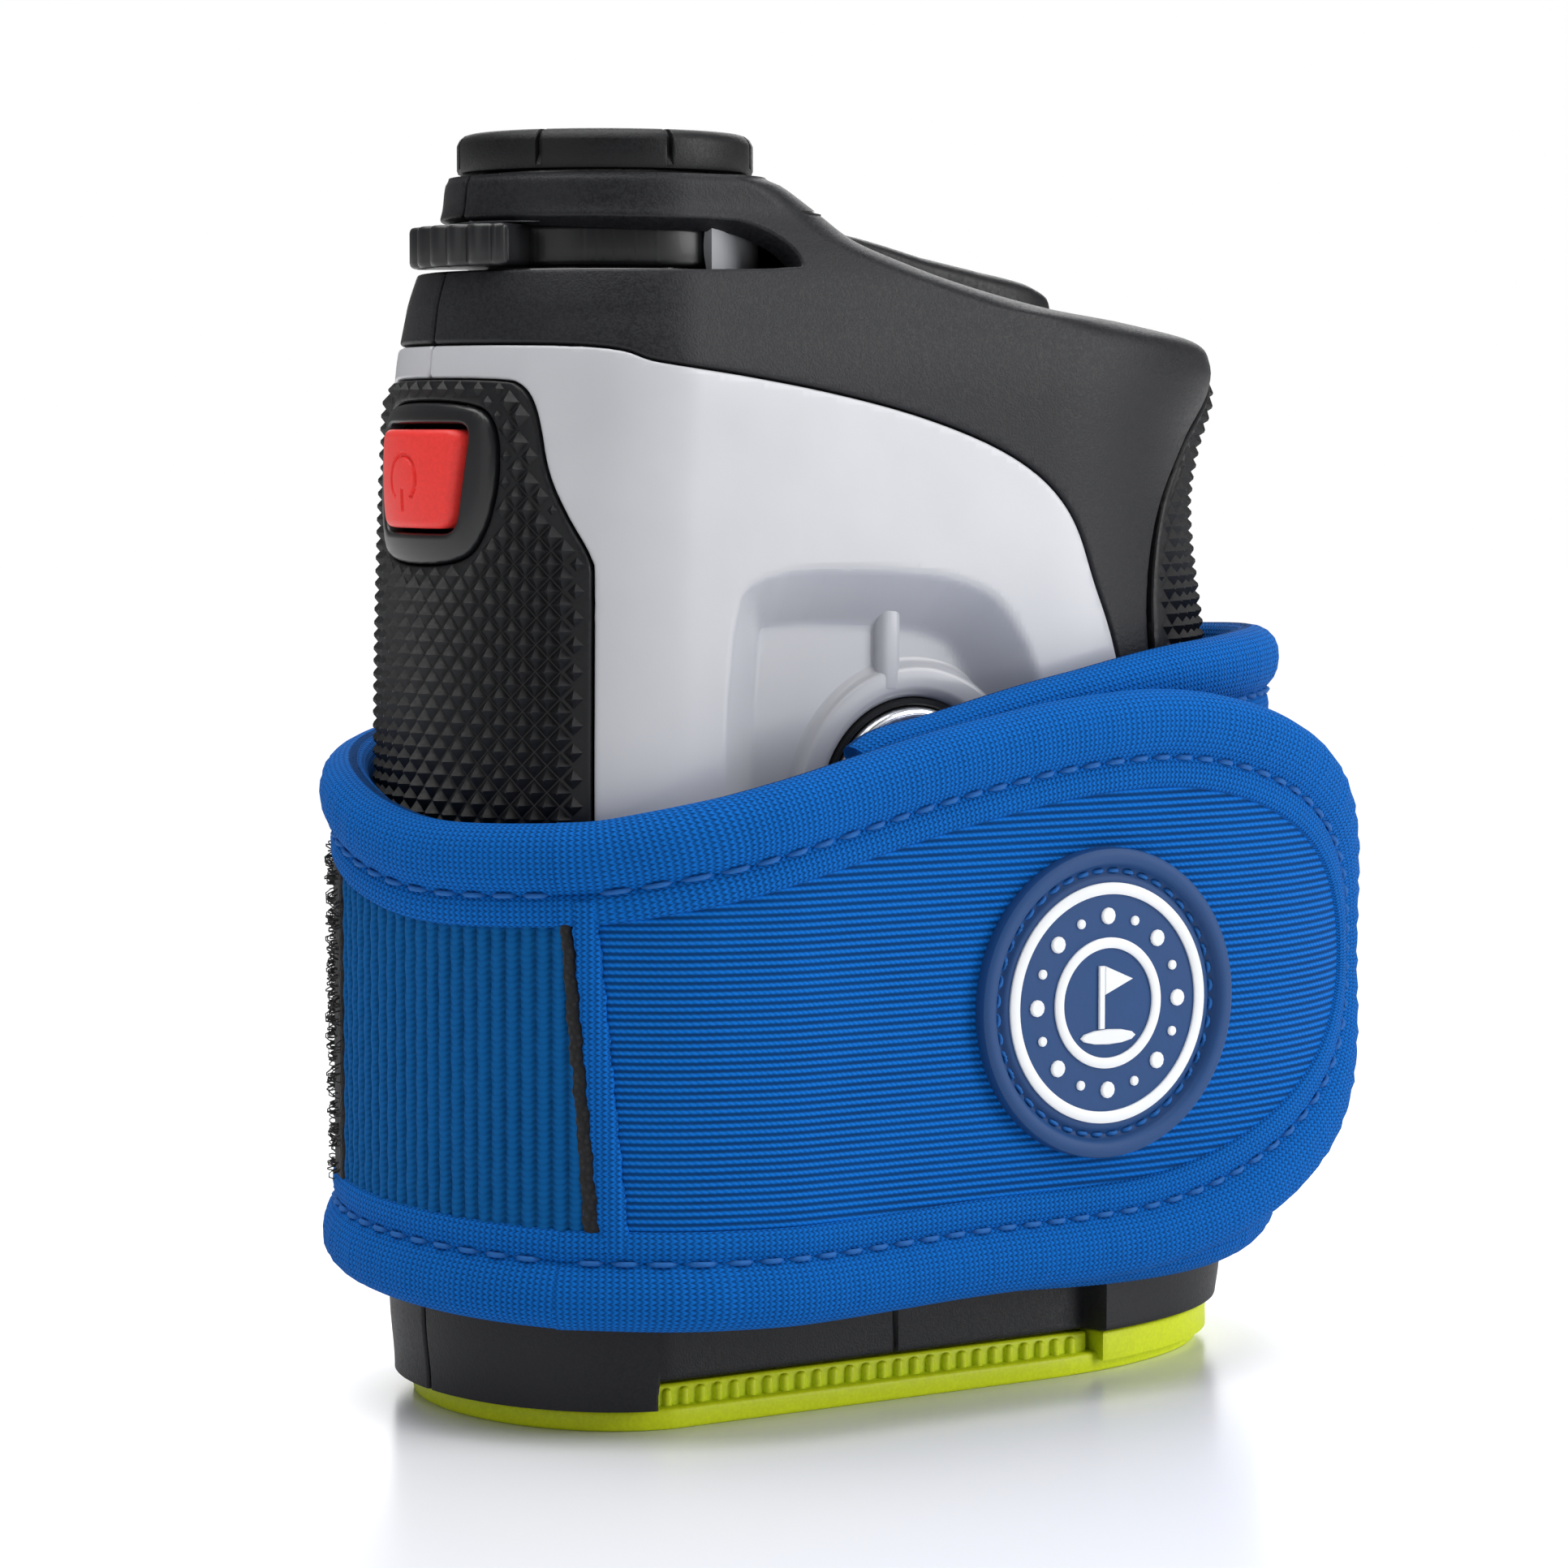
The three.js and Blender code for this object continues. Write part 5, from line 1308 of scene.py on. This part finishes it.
def lever_edge(x, y):
    """Distance inside the lever's outline, from above."""
    dx = x - EYE_X
    r = np.hypot(dx, y)
    a = np.abs(np.arctan2(y, -dx))
    fan = LEVER_FAN
    t = (np.arctan2(y, -dx) + fan) / (2 * fan)
    dip = 0.6 * (1 - np.abs(np.cos(np.pi * LEVER_SCALLOPS * t)))
    corner = np.clip(np.minimum(t, 1 - t) * 12, 0, 1)
    outer = LEVER_REACH - dip - 1.2 * (1 - corner) ** 2
    tab = np.minimum(outer - r, (fan - a) * r)
    return np.minimum(np.maximum(tab, 12.0 - r), r - 10.15)


class MakeLever(bpy.types.Operator):
    """The mode lever: a ring round the eyepiece with a scalloped thumb tab"""
    bl_idname, bl_label = "rangefinder.lever", "Mode lever"

    def execute(self, context):
        x, y = np.arange(-35.6, -6.0, 0.24), np.arange(-12.3, 12.31, 0.24)
        skin = flat_slab(x, y, lever_edge, "Z", LEVER_TOP, 0.5)
        shape = shelled(skin, "edge", 0.5, LEVER_THICK, under=True)
        make("lever_ring", *shape, finish("island"), "lever", "rubber", ("mode_lever",), sharp=50)
        return {"FINISHED"}


# ---------------------------------------------------------------- front bezel and battery cap
class MakeBezel(bpy.types.Operator):
    """The lime bezel at the front end, with fine ribs along its two exposed sides"""
    bl_idname, bl_label = "rangefinder.bezel", "Front bezel"

    def execute(self, context):
        u = np.linspace(0, 4, 200, endpoint=False)
        point, normal = body_frame(u, np.full_like(u, 2.4))
        flat = normal * [1, 1, 0]
        outline = (point - flat / np.linalg.norm(flat, axis=1, keepdims=True) * 1.6)[:, :2]

        def edge(a, b):
            return np.minimum.reduce([
                inside_distance(np.stack([a, b], -1), outline), np.hypot(a - EYE_X, b) - 11.1,
                np.hypot(a - LASER_X, b) - 8.8])

        x, y = np.arange(-35, 44.01, 0.55), np.arange(-17.6, 17.61, 0.55)
        skin = flat_slab(x, y, edge, "Z", BEZEL_TOP, 0.4)
        parts = [shelled(skin, "edge", 0.4, BEZEL_TOP, under=True)]
        end = flat_slab(np.arange(21.9, 44.2, 0.4), np.arange(-19, 19.01, 0.4),
                        lambda a, b: np.minimum(edge(a, b) + 0.9, a - NOTCH[1] - 0.25), "Z", 3.75, 0.35)
        parts.append(shelled(end, "edge", 0.35, 2.6))
        count = context.scene.rangefinder_sizes.bezel_ribs
        for way in (-1, 1):
            ends = sorted((way * 12.3, way * 16.15))
            parts.append(rounded_box((NOTCH[0] + 0.3, ends[0], 0.02), (NOTCH[1] - 0.3, ends[1], 3.6), 0.35))
            for k in range(count):
                x = NOTCH[0] + 2.2 + k * (NOTCH[1] - NOTCH[0] - 4.4) / (count - 1)
                ends = sorted((way * 15.6, way * 16.6))
                parts.append(rounded_box((x - 0.42, ends[0], 0.35), (x + 0.42, ends[1], 3.3), 0.34, 2))
        make("lime_bezel", *merged(parts), finish("lime"), "unit", "lime", ("front_bezel",), sharp=40)
        return {"FINISHED"}


class MakeBatteryCap(bpy.types.Operator):
    """The turned battery cap with its coin slot, and the dark seal round it"""
    bl_idname, bl_label = "rangefinder.battery_cap", "Battery cap"

    def execute(self, context):
        def slot(a, b):
            return np.minimum(5.5 - np.abs(a - BOSS_X), 0.7 - np.abs(b - BOSS_Z))

        def disc(a, b):
            return CAP_R - np.hypot(a - BOSS_X, b - BOSS_Z)

        x = np.arange(-8.6, 8.61, 0.3)
        skin = flat_slab(x + BOSS_X, x + BOSS_Z, disc, "-Y", -16.4, 0.7, slot, (0.0, 0.15))
        dish = np.hypot(skin.rows[:, 0] - BOSS_X, skin.rows[:, 2] - BOSS_Z)
        skin.rows[:, 1] += 0.8 * eased(skin["mark"] / 0.15) + 0.12 * eased((6.6 - dish) / 0.4)
        shape = shelled(skin, "edge", 0.7, 2.4)
        make("coin_slot_cap", *shape, finish("cap"), "cap", "metal", ("battery_cap",), sharp=35)
        seal = turned([
            (8.6, 14.0), (8.6, 15.75), (8.75, 15.9), (9.05, 15.9), (9.22, 15.7), (9.22, 14.0), (8.6, 14.0),
        ], 96, (BOSS_X, 0, BOSS_Z), "-Y")
        make("seal_ring", *seal, finish("rubber"), "unit", "rubber", ("cap_seal",), sharp=40)
        return {"FINISHED"}


# ---------------------------------------------------------------- strap
def still(s):
    return np.zeros_like(np.asarray(s, float))


def edge_path(edge, start, end, step=1.0):
    s = np.linspace(start, end, int((end - start) / step))
    path = np.stack([s, edge(s)], -1)
    return path, np.r_[0, np.cumsum(np.linalg.norm(np.diff(path, axis=0), axis=1))]


class MakeStrapBand(bpy.types.Operator):
    """The band: its bindings and stitches, its blue body, its loop face and the corded elastic"""
    bl_idname, bl_label = "rangefinder.strap_band", "Strap band"

    def execute(self, context):
        threads = []
        for name, node, edge, right in (
            ("band_edge_top", "band_binding_top", band_top, True),
            ("band_edge_bottom", "band_binding_bottom", band_bottom, False),
        ):
            path, distance = edge_path(edge, BAND_TIP + 6.0, L + 18.55)
            side = inward(path, right)
            v, f, uv = binding_mesh(path, distance, side, still)
            binding = make(name, v, f, finish("binding"), "unit", "blue", (node,), sharp=62, uv=uv)
            threads.append(stitch_row(path, distance, side, still))
        v, f = merged(threads)
        make("band_stitches", v, f, finish("thread"), "unit", "blue")
        s = np.linspace(BAND_TIP + 10, ELASTIC_FROM, 150)
        low, high = lambda q: band_bottom(q) + 5.0, lambda q: band_top(q) - 5.0
        v, f, uv = strap_slab(s, low, high, INNER + 0.25, PANEL - 0.3, 24)
        band = make("band_body", v, f, finish("ribbed"), "unit", "blue", ("strap_band",), uv=uv)
        low, high = lambda q: band_bottom(q) + 7.6, lambda q: band_top(q) - 7.6
        s = np.linspace(BAND_TIP + 11, ELASTIC_FROM - 0.6, 150)
        face = strap_slab(s, low, high, PANEL - 0.2, PANEL + 0.5, 24)
        curls = loop_pile(s[0] + 0.5, s[-1] - 0.3, low, high, context.scene.rangefinder_sizes.loop_count)
        v, f = merged([face[:2], curls])
        make("loop_face", v, f, finish("loops"), "unit", "loops", ("strap_loop_panel",))
        end = L + 19.6
        s = np.linspace(ELASTIC_FROM - 0.4, end, int((end - ELASTIC_FROM) / CORD) * 8)

        def slant(q, z):
            return (seam_line(z) + 0.5 - 19.6) * np.clip((q - L - 6) / (19.6 - 6), 0, 1)

        def ripple(q, z):
            ridge = np.sqrt(np.abs(np.sin(np.pi * q / CORD)))
            return -0.42 + 0.42 * ridge + 0.05 * np.sin(2.1 * z + 3 * np.sin(q))

        v, f, uv = strap_slab(s, lambda q: band_bottom(q) + 7.4, lambda q: band_top(q) - 7.4, INNER + 0.9,
                              PANEL + 0.35, 60, None, ripple, slant)
        elastic = make("elastic_panel", v, f, finish("elastic"), "unit", "elastic", ("strap_elastic",), uv=uv)
        return {"FINISHED"}


def loop_pile(start, end, low, high, count):
    """Small curled fibres standing on the loop face."""
    rng = np.random.default_rng(41)
    parts_v, parts_f = [], []
    s = rng.uniform(start, end, count)
    t = rng.uniform(0.01, 0.99, count)
    turn = rng.uniform(0, np.pi, count)
    size = rng.uniform(0.45, 1.0, count)
    lean = rng.uniform(-0.5, 0.5, (count, 2))
    arc = np.linspace(-0.25, np.pi + 0.25, 6)
    for k in range(count):
        z = low(s[k]) * (1 - t[k]) + high(s[k]) * t[k]
        wide, tall = 0.5 * size[k], 0.85 * size[k]
        along = wide * np.cos(arc)
        up = tall * np.sin(arc)
        ss = s[k] + along * np.cos(turn[k]) + lean[k, 0] * up
        zz = z + along * np.sin(turn[k]) + lean[k, 1] * up
        v, f = tube(strap_point(ss, PANEL + 0.45 + up, zz), 0.07, 3)
        start_at = 18 * len(parts_v)
        parts_v.append(v)
        parts_f += [[i + start_at for i in face] for face in f]
    return np.vstack(parts_v), parts_f


class MakeStrapTab(bpy.types.Operator):
    """The tab that folds over the band: ribbed panel, binding, stitches, hook tape and its slanted seam"""
    bl_idname, bl_label = "rangefinder.strap_tab", "Strap tab"

    def execute(self, context):
        path, distance = tab_path()
        side = inward(path, True)
        v, f, uv = binding_mesh(path, distance, side, tab_lift)
        edge = make("tab_edge", v, f, finish("binding"), "tab", "blue", ("tab_binding",), sharp=62, uv=uv)
        v, f = stitch_row(path, distance, side, tab_lift)
        make("tab_stitches", v, f, finish("thread"), "tab", "blue")

        def edge_at(way):
            def height(s):
                edge = tab_top if way > 0 else tab_bottom
                reach = edge(s) - way * TAB_INSET - TAB_MIDDLE
                t = np.clip((s - BEND) / (TAB_TIP - TAB_INSET - BEND), 0, 1)
                return TAB_MIDDLE + reach * np.sqrt(np.maximum(0.0005, 1 - t * t))
            return height

        tip = TAB_TIP - TAB_INSET
        start = 22.0
        s = np.r_[np.arange(start, BEND, 0.9), BEND + (tip - BEND) * np.sin(np.linspace(0, np.pi / 2, 48))]

        def slant(q, z):
            return (seam_line(z) + 2.7 - start) * (1 - np.clip((q - start) / 10, 0, 1))

        low, high = edge_at(-1), edge_at(1)
        v, f, uv = strap_slab(s, low, high, INNER + 1.2, INNER + 2.95, 44, tab_lift, None, slant)
        panel = make("tab_panel", v, f, finish("ribbed"), "tab", "blue", ("strap_tab",), uv=uv)
        s = np.linspace(LIFTED + 3, tip - 1.5, 90)
        v, f, uv = strap_slab(s, low, high, INNER + 0.15, INNER + 1.2, 20, tab_lift)
        make("hook_tape", v, f, finish("loops"), "tab", "loops", ("tab_hook_tape",))
        z = np.linspace(16.0, 44.9, 90)
        for name, body, shift, width, under, over, material, slot in (
            ("seam_hook_strip", "unit", 0.1, 1.25, 2.4, 4.1, "loops", "loops"),
            ("seam_folded_edge", "tab", 1.2, 2.2, 2.2, 4.45, "binding", "blue"),
        ):
            turn = np.linspace(0, 2 * np.pi, 18, endpoint=False)
            ds = width / 2 * np.sign(np.cos(turn)) * np.abs(np.cos(turn)) ** 0.7
            dn = (over - under) / 2 * np.sign(np.sin(turn)) * np.abs(np.sin(turn)) ** 0.7
            wobble = 0.06 * np.sin(z * 1.9)[:, None] + 0.05 * np.sin(z * 5.3)[:, None]
            spread = (1.0 + (0.3 if body == "unit" else 0.05) * (30 - z) / 15)[:, None]
            ss = seam_line(z)[:, None] + shift + width / 2 + ds[None] * spread + wobble
            zz = np.broadcast_to(z[:, None], ss.shape)
            lift = tab_lift(ss) if body == "tab" else 0.0
            v, f = skinned(strap_point(ss, (under + over) / 2 + dn[None] + lift, zz))
            strip = make(name, v, f, finish(material), body, slot, uv=np.stack([ss, zz], -1).reshape(-1, 2))
        return {"FINISHED"}


PATCH_X, PATCH_Z, PATCH_Y = 14.6, 34.4, 28.4
MARK_LOW, MARK_HIGH = -0.7, -0.3  # foot and top of the marks, from the patch's outer face
PATCH_STITCH_R, PATCH_STITCHES = 11.3, 44


def on_patch(profile, sides=120):
    """A turned shape on the patch; heights are outwards from its outer face."""
    shape = [(r, PATCH_Y + h) for r, h in profile]
    return turned(shape, sides, (PATCH_X, 0, PATCH_Z), "-Y")


def raised(outline, inset=0.12):
    """A flat mark on the patch from a 2-D outline round its centre, with a bevelled top."""
    p = np.asarray(outline, float)
    middle = p.mean(0)
    away = p - middle
    smaller = middle + away * (1 - inset / np.maximum(np.linalg.norm(away, axis=1, keepdims=True), 0.3))
    rings = []
    for shape, h in ((p, MARK_LOW), (p, MARK_HIGH - 0.1), (smaller, MARK_HIGH)):
        level = np.full(len(p), -PATCH_Y - h)
        rings.append(np.column_stack([PATCH_X + shape[:, 0], level, PATCH_Z + shape[:, 1]]))
    return skinned(rings)


class MakePatch(bpy.types.Operator):
    """The soft round patch with two rings, a ring of dots and a small flag"""
    bl_idname, bl_label = "rangefinder.patch", "Round patch"

    def execute(self, context):
        disc = on_patch([
            (0.01, -1.9), (12.9, -1.9), (13.2, -1.7), (13.3, -1.3), (13.3, -0.5), (13.2, -0.2),
            (12.95, -0.03), (12.6, 0.0), (12.15, -0.02), (11.9, -0.2), (11.75, -0.55), (11.55, -0.85),
            (11.3, -0.95),
            (11.05, -0.85), (10.9, -0.65), (10.6, -0.55), (10.4, -0.55), (0.01, -0.55), (0.01, -1.9),
        ])
        make("patch_disc", *disc, finish("patch"), "tab", "soft", ("strap_patch",), sharp=35)
        for name, node, outer, inner in (
            ("patch_outer_ring", "patch_ring", 10.3, 9.3),
            ("patch_middle_ring", "patch_inner_ring", 5.6, 4.7),
        ):
            ring = on_patch([(inner, -0.7), (inner, -0.38), (inner + 0.15, -0.28), (outer - 0.15, -0.28),
                             (outer, -0.38), (outer, -0.7), (inner, -0.7)])
            make(name, *ring, finish("white"), "tab", "white", (node,), sharp=35)
        dot = np.linspace(0, 2 * np.pi, 12, endpoint=False)
        marks = []
        for k in range(16):
            a = k * 2 * np.pi / 16
            centre = 7.45 * np.array([np.cos(a), np.sin(a)])
            size = 0.72 if k % 2 == 0 else 0.42
            marks.append(raised(centre + size * np.stack([np.cos(dot), np.sin(dot)], -1)))
        marks.append(raised([[-0.95, -2.2], [-0.45, -2.2], [-0.45, 3.2], [-0.95, 3.2]], 0.06))
        marks.append(raised([[-0.38, 0.7], [2.6, 1.95], [-0.38, 3.2]]))
        marks.append(raised([[2.9 * np.cos(a), -2.9 + 0.65 * np.sin(a)] for a in dot]))
        make("patch_marks", *merged(marks), finish("white"), "tab", "white", sharp=35)
        r, threads = PATCH_STITCH_R, []
        for k in range(PATCH_STITCHES):
            a = (k + np.linspace(0.14, 0.86, 5)) * 2 * np.pi / PATCH_STITCHES
            rise = np.array([-0.3, 0.02, 0.1, 0.02, -0.3])
            path = np.stack([PATCH_X + r * np.cos(a), -(PATCH_Y - 0.85 + rise), PATCH_Z + r * np.sin(a)], -1)
            threads.append(tube(path, 0.2, 6))
        make("patch_stitches", *merged(threads), finish("thread"), "tab", "soft")
        return {"FINISHED"}


# ---------------------------------------------------------------- inner parts kept from the frame
KEPT = {
    "black": ("switch_plunger",),
    "gloss": ("fire_switch",),
    "board": ("switch_board", "laser_board", "main_board"),
    "collar": ("objective_barrel", "prism_housing", "laser_barrel", "battery_tube"),
    "glass": ("roof_prism", "display_panel"),
    "steel": ("receiver_diode", "laser_diode", "battery_cell", *[f"housing_screw_{k}" for k in range(1, 5)]),
    "brass": ("battery_contact",),
    "magnet": ("strap_magnet_1", "strap_magnet_2"),
}


class FinishInnerParts(bpy.types.Operator):
    """Finishes for the parts inside the casing"""
    bl_idname, bl_label = "rangefinder.inner_parts", "Inner parts"

    def execute(self, context):
        for material, nodes in KEPT.items():
            for name in nodes:
                for slot in bpy.data.objects[name].material_slots:
                    slot.material = finish(material)
        return {"FINISHED"}


# ---------------------------------------------------------------- stage
AZIMUTH, ELEVATION = math.radians(-33.267), math.radians(4.204)
DISTANCE, LENS, SENSOR = 0.424553, 110.70, 36.0
AIM = (-0.000069, 0.0, 0.051968)
SOFTBOXES = (  # name, place, width and height, power
    ("left_softbox", (-0.85, -0.25, 0.42), (0.5, 0.8), 0.7),
    ("right_softbox", (0.62, -0.62, 0.40), (0.45, 0.8), 6.0),
    ("top_softbox", (-0.1, 0.05, 0.95), (1.0, 1.0), 11.0),
    ("rear_softbox", (0.5, 0.7, 0.45), (0.6, 0.7), 3.0),
)
ROOM_SEEN, ROOM_LIGHT = 1.0, 0.17  # the white room's strength as seen, and as it lights the object
FLOOR_RINGS, FLOOR_SIDES = (1.0, 60.0, 400.0, 2500.0), 96


def aimed(obj, position, target):
    obj.location = position
    obj.rotation_euler = (Vector(target) - Vector(position)).to_track_quat("-Z", "Y").to_euler()


class MakeStage(bpy.types.Operator):
    """Camera, soft lights and a plain pale floor"""
    bl_idname, bl_label = "rangefinder.stage", "Stage"

    def execute(self, context):
        scene = context.scene
        back = (math.sin(AZIMUTH) * math.cos(ELEVATION), -math.cos(AZIMUTH) * math.cos(ELEVATION),
                math.sin(ELEVATION))
        camera = bpy.data.objects.new("camera", bpy.data.cameras.new("camera"))
        camera.data.lens, camera.data.sensor_width = LENS, SENSOR
        camera.data.clip_start = 0.01
        aimed(camera, [AIM[k] + DISTANCE * back[k] for k in range(3)], AIM)
        scene.collection.objects.link(camera)
        scene.camera = camera
        for name, place, size, power in SOFTBOXES:
            light = bpy.data.lights.new(name, "AREA")
            light.shape, light.size, light.size_y, light.energy = "RECTANGLE", size[0], size[1], power
            obj = bpy.data.objects.new(name, light)
            aimed(obj, place, AIM)
            scene.collection.objects.link(obj)
        world = bpy.data.worlds.new("soft_white_room")
        world.use_nodes = True
        tree = world.node_tree
        seen, cast = tree.nodes["Background"], tree.nodes.new("ShaderNodeBackground")
        seen.inputs["Color"].default_value = cast.inputs["Color"].default_value = (1, 1, 1, 1)
        seen.inputs["Strength"].default_value, cast.inputs["Strength"].default_value = ROOM_SEEN, ROOM_LIGHT
        mix, path = tree.nodes.new("ShaderNodeMixShader"), tree.nodes.new("ShaderNodeLightPath")
        tree.links.new(path.outputs["Is Camera Ray"], mix.inputs[0])
        tree.links.new(cast.outputs[0], mix.inputs[1])
        tree.links.new(seen.outputs[0], mix.inputs[2])
        tree.links.new(mix.outputs[0], tree.nodes["World Output"].inputs["Surface"])
        scene.view_settings.view_transform = "Standard"
        scene.world = world
        turn = np.linspace(0, 2 * np.pi, FLOOR_SIDES, endpoint=False)
        flat = np.zeros(FLOOR_SIDES)
        rings = [np.stack([r * np.cos(turn), r * np.sin(turn), flat], -1) for r in FLOOR_RINGS]
        v, f = skinned(rings, ends=False)
        f.append(list(range(FLOOR_SIDES)))
        floor = make("floor", v, f, finish("floor"))
        return {"FINISHED"}


class RangefinderPanel(bpy.types.Panel):
    """Lists the pieces in the 3D view's sidebar"""
    bl_idname, bl_label = "VIEW3D_PT_rangefinder", "Rangefinder"
    bl_space_type, bl_region_type, bl_category = "VIEW_3D", "UI", "Rangefinder"

    def draw(self, context):
        for group in (context.scene.rangefinder_sizes, context.scene.rangefinder_colours):
            for name in group.bl_rna.properties.keys():
                if name not in ("rna_type", "name"):
                    self.layout.prop(group, name)
        for operator in OPERATORS:
            self.layout.operator(operator.bl_idname)


OPERATORS = (
    MakeStage, MakeCasing, MakePlates, MakeGrips, MakeButton, MakeSpine, MakeEyepiece, MakeLever, MakeBezel,
    MakeBatteryCap, MakeStrapBand, MakeStrapTab, MakePatch, FinishInnerParts,
)
GROUPS = (RangefinderColours, RangefinderSizes)


def register():
    for cls in (*GROUPS, *OPERATORS, RangefinderPanel):
        bpy.utils.register_class(cls)
    bpy.types.Scene.rangefinder_colours = PointerProperty(type=RangefinderColours)
    bpy.types.Scene.rangefinder_sizes = PointerProperty(type=RangefinderSizes)


def unregister():
    del bpy.types.Scene.rangefinder_sizes
    del bpy.types.Scene.rangefinder_colours
    for cls in reversed((*GROUPS, *OPERATORS, RangefinderPanel)):
        bpy.utils.unregister_class(cls)


def main():
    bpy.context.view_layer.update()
    register()
    for operator in OPERATORS:
        group, name = operator.bl_idname.split(".")
        getattr(getattr(bpy.ops, group), name)()


if __name__ == "__main__":
    main()
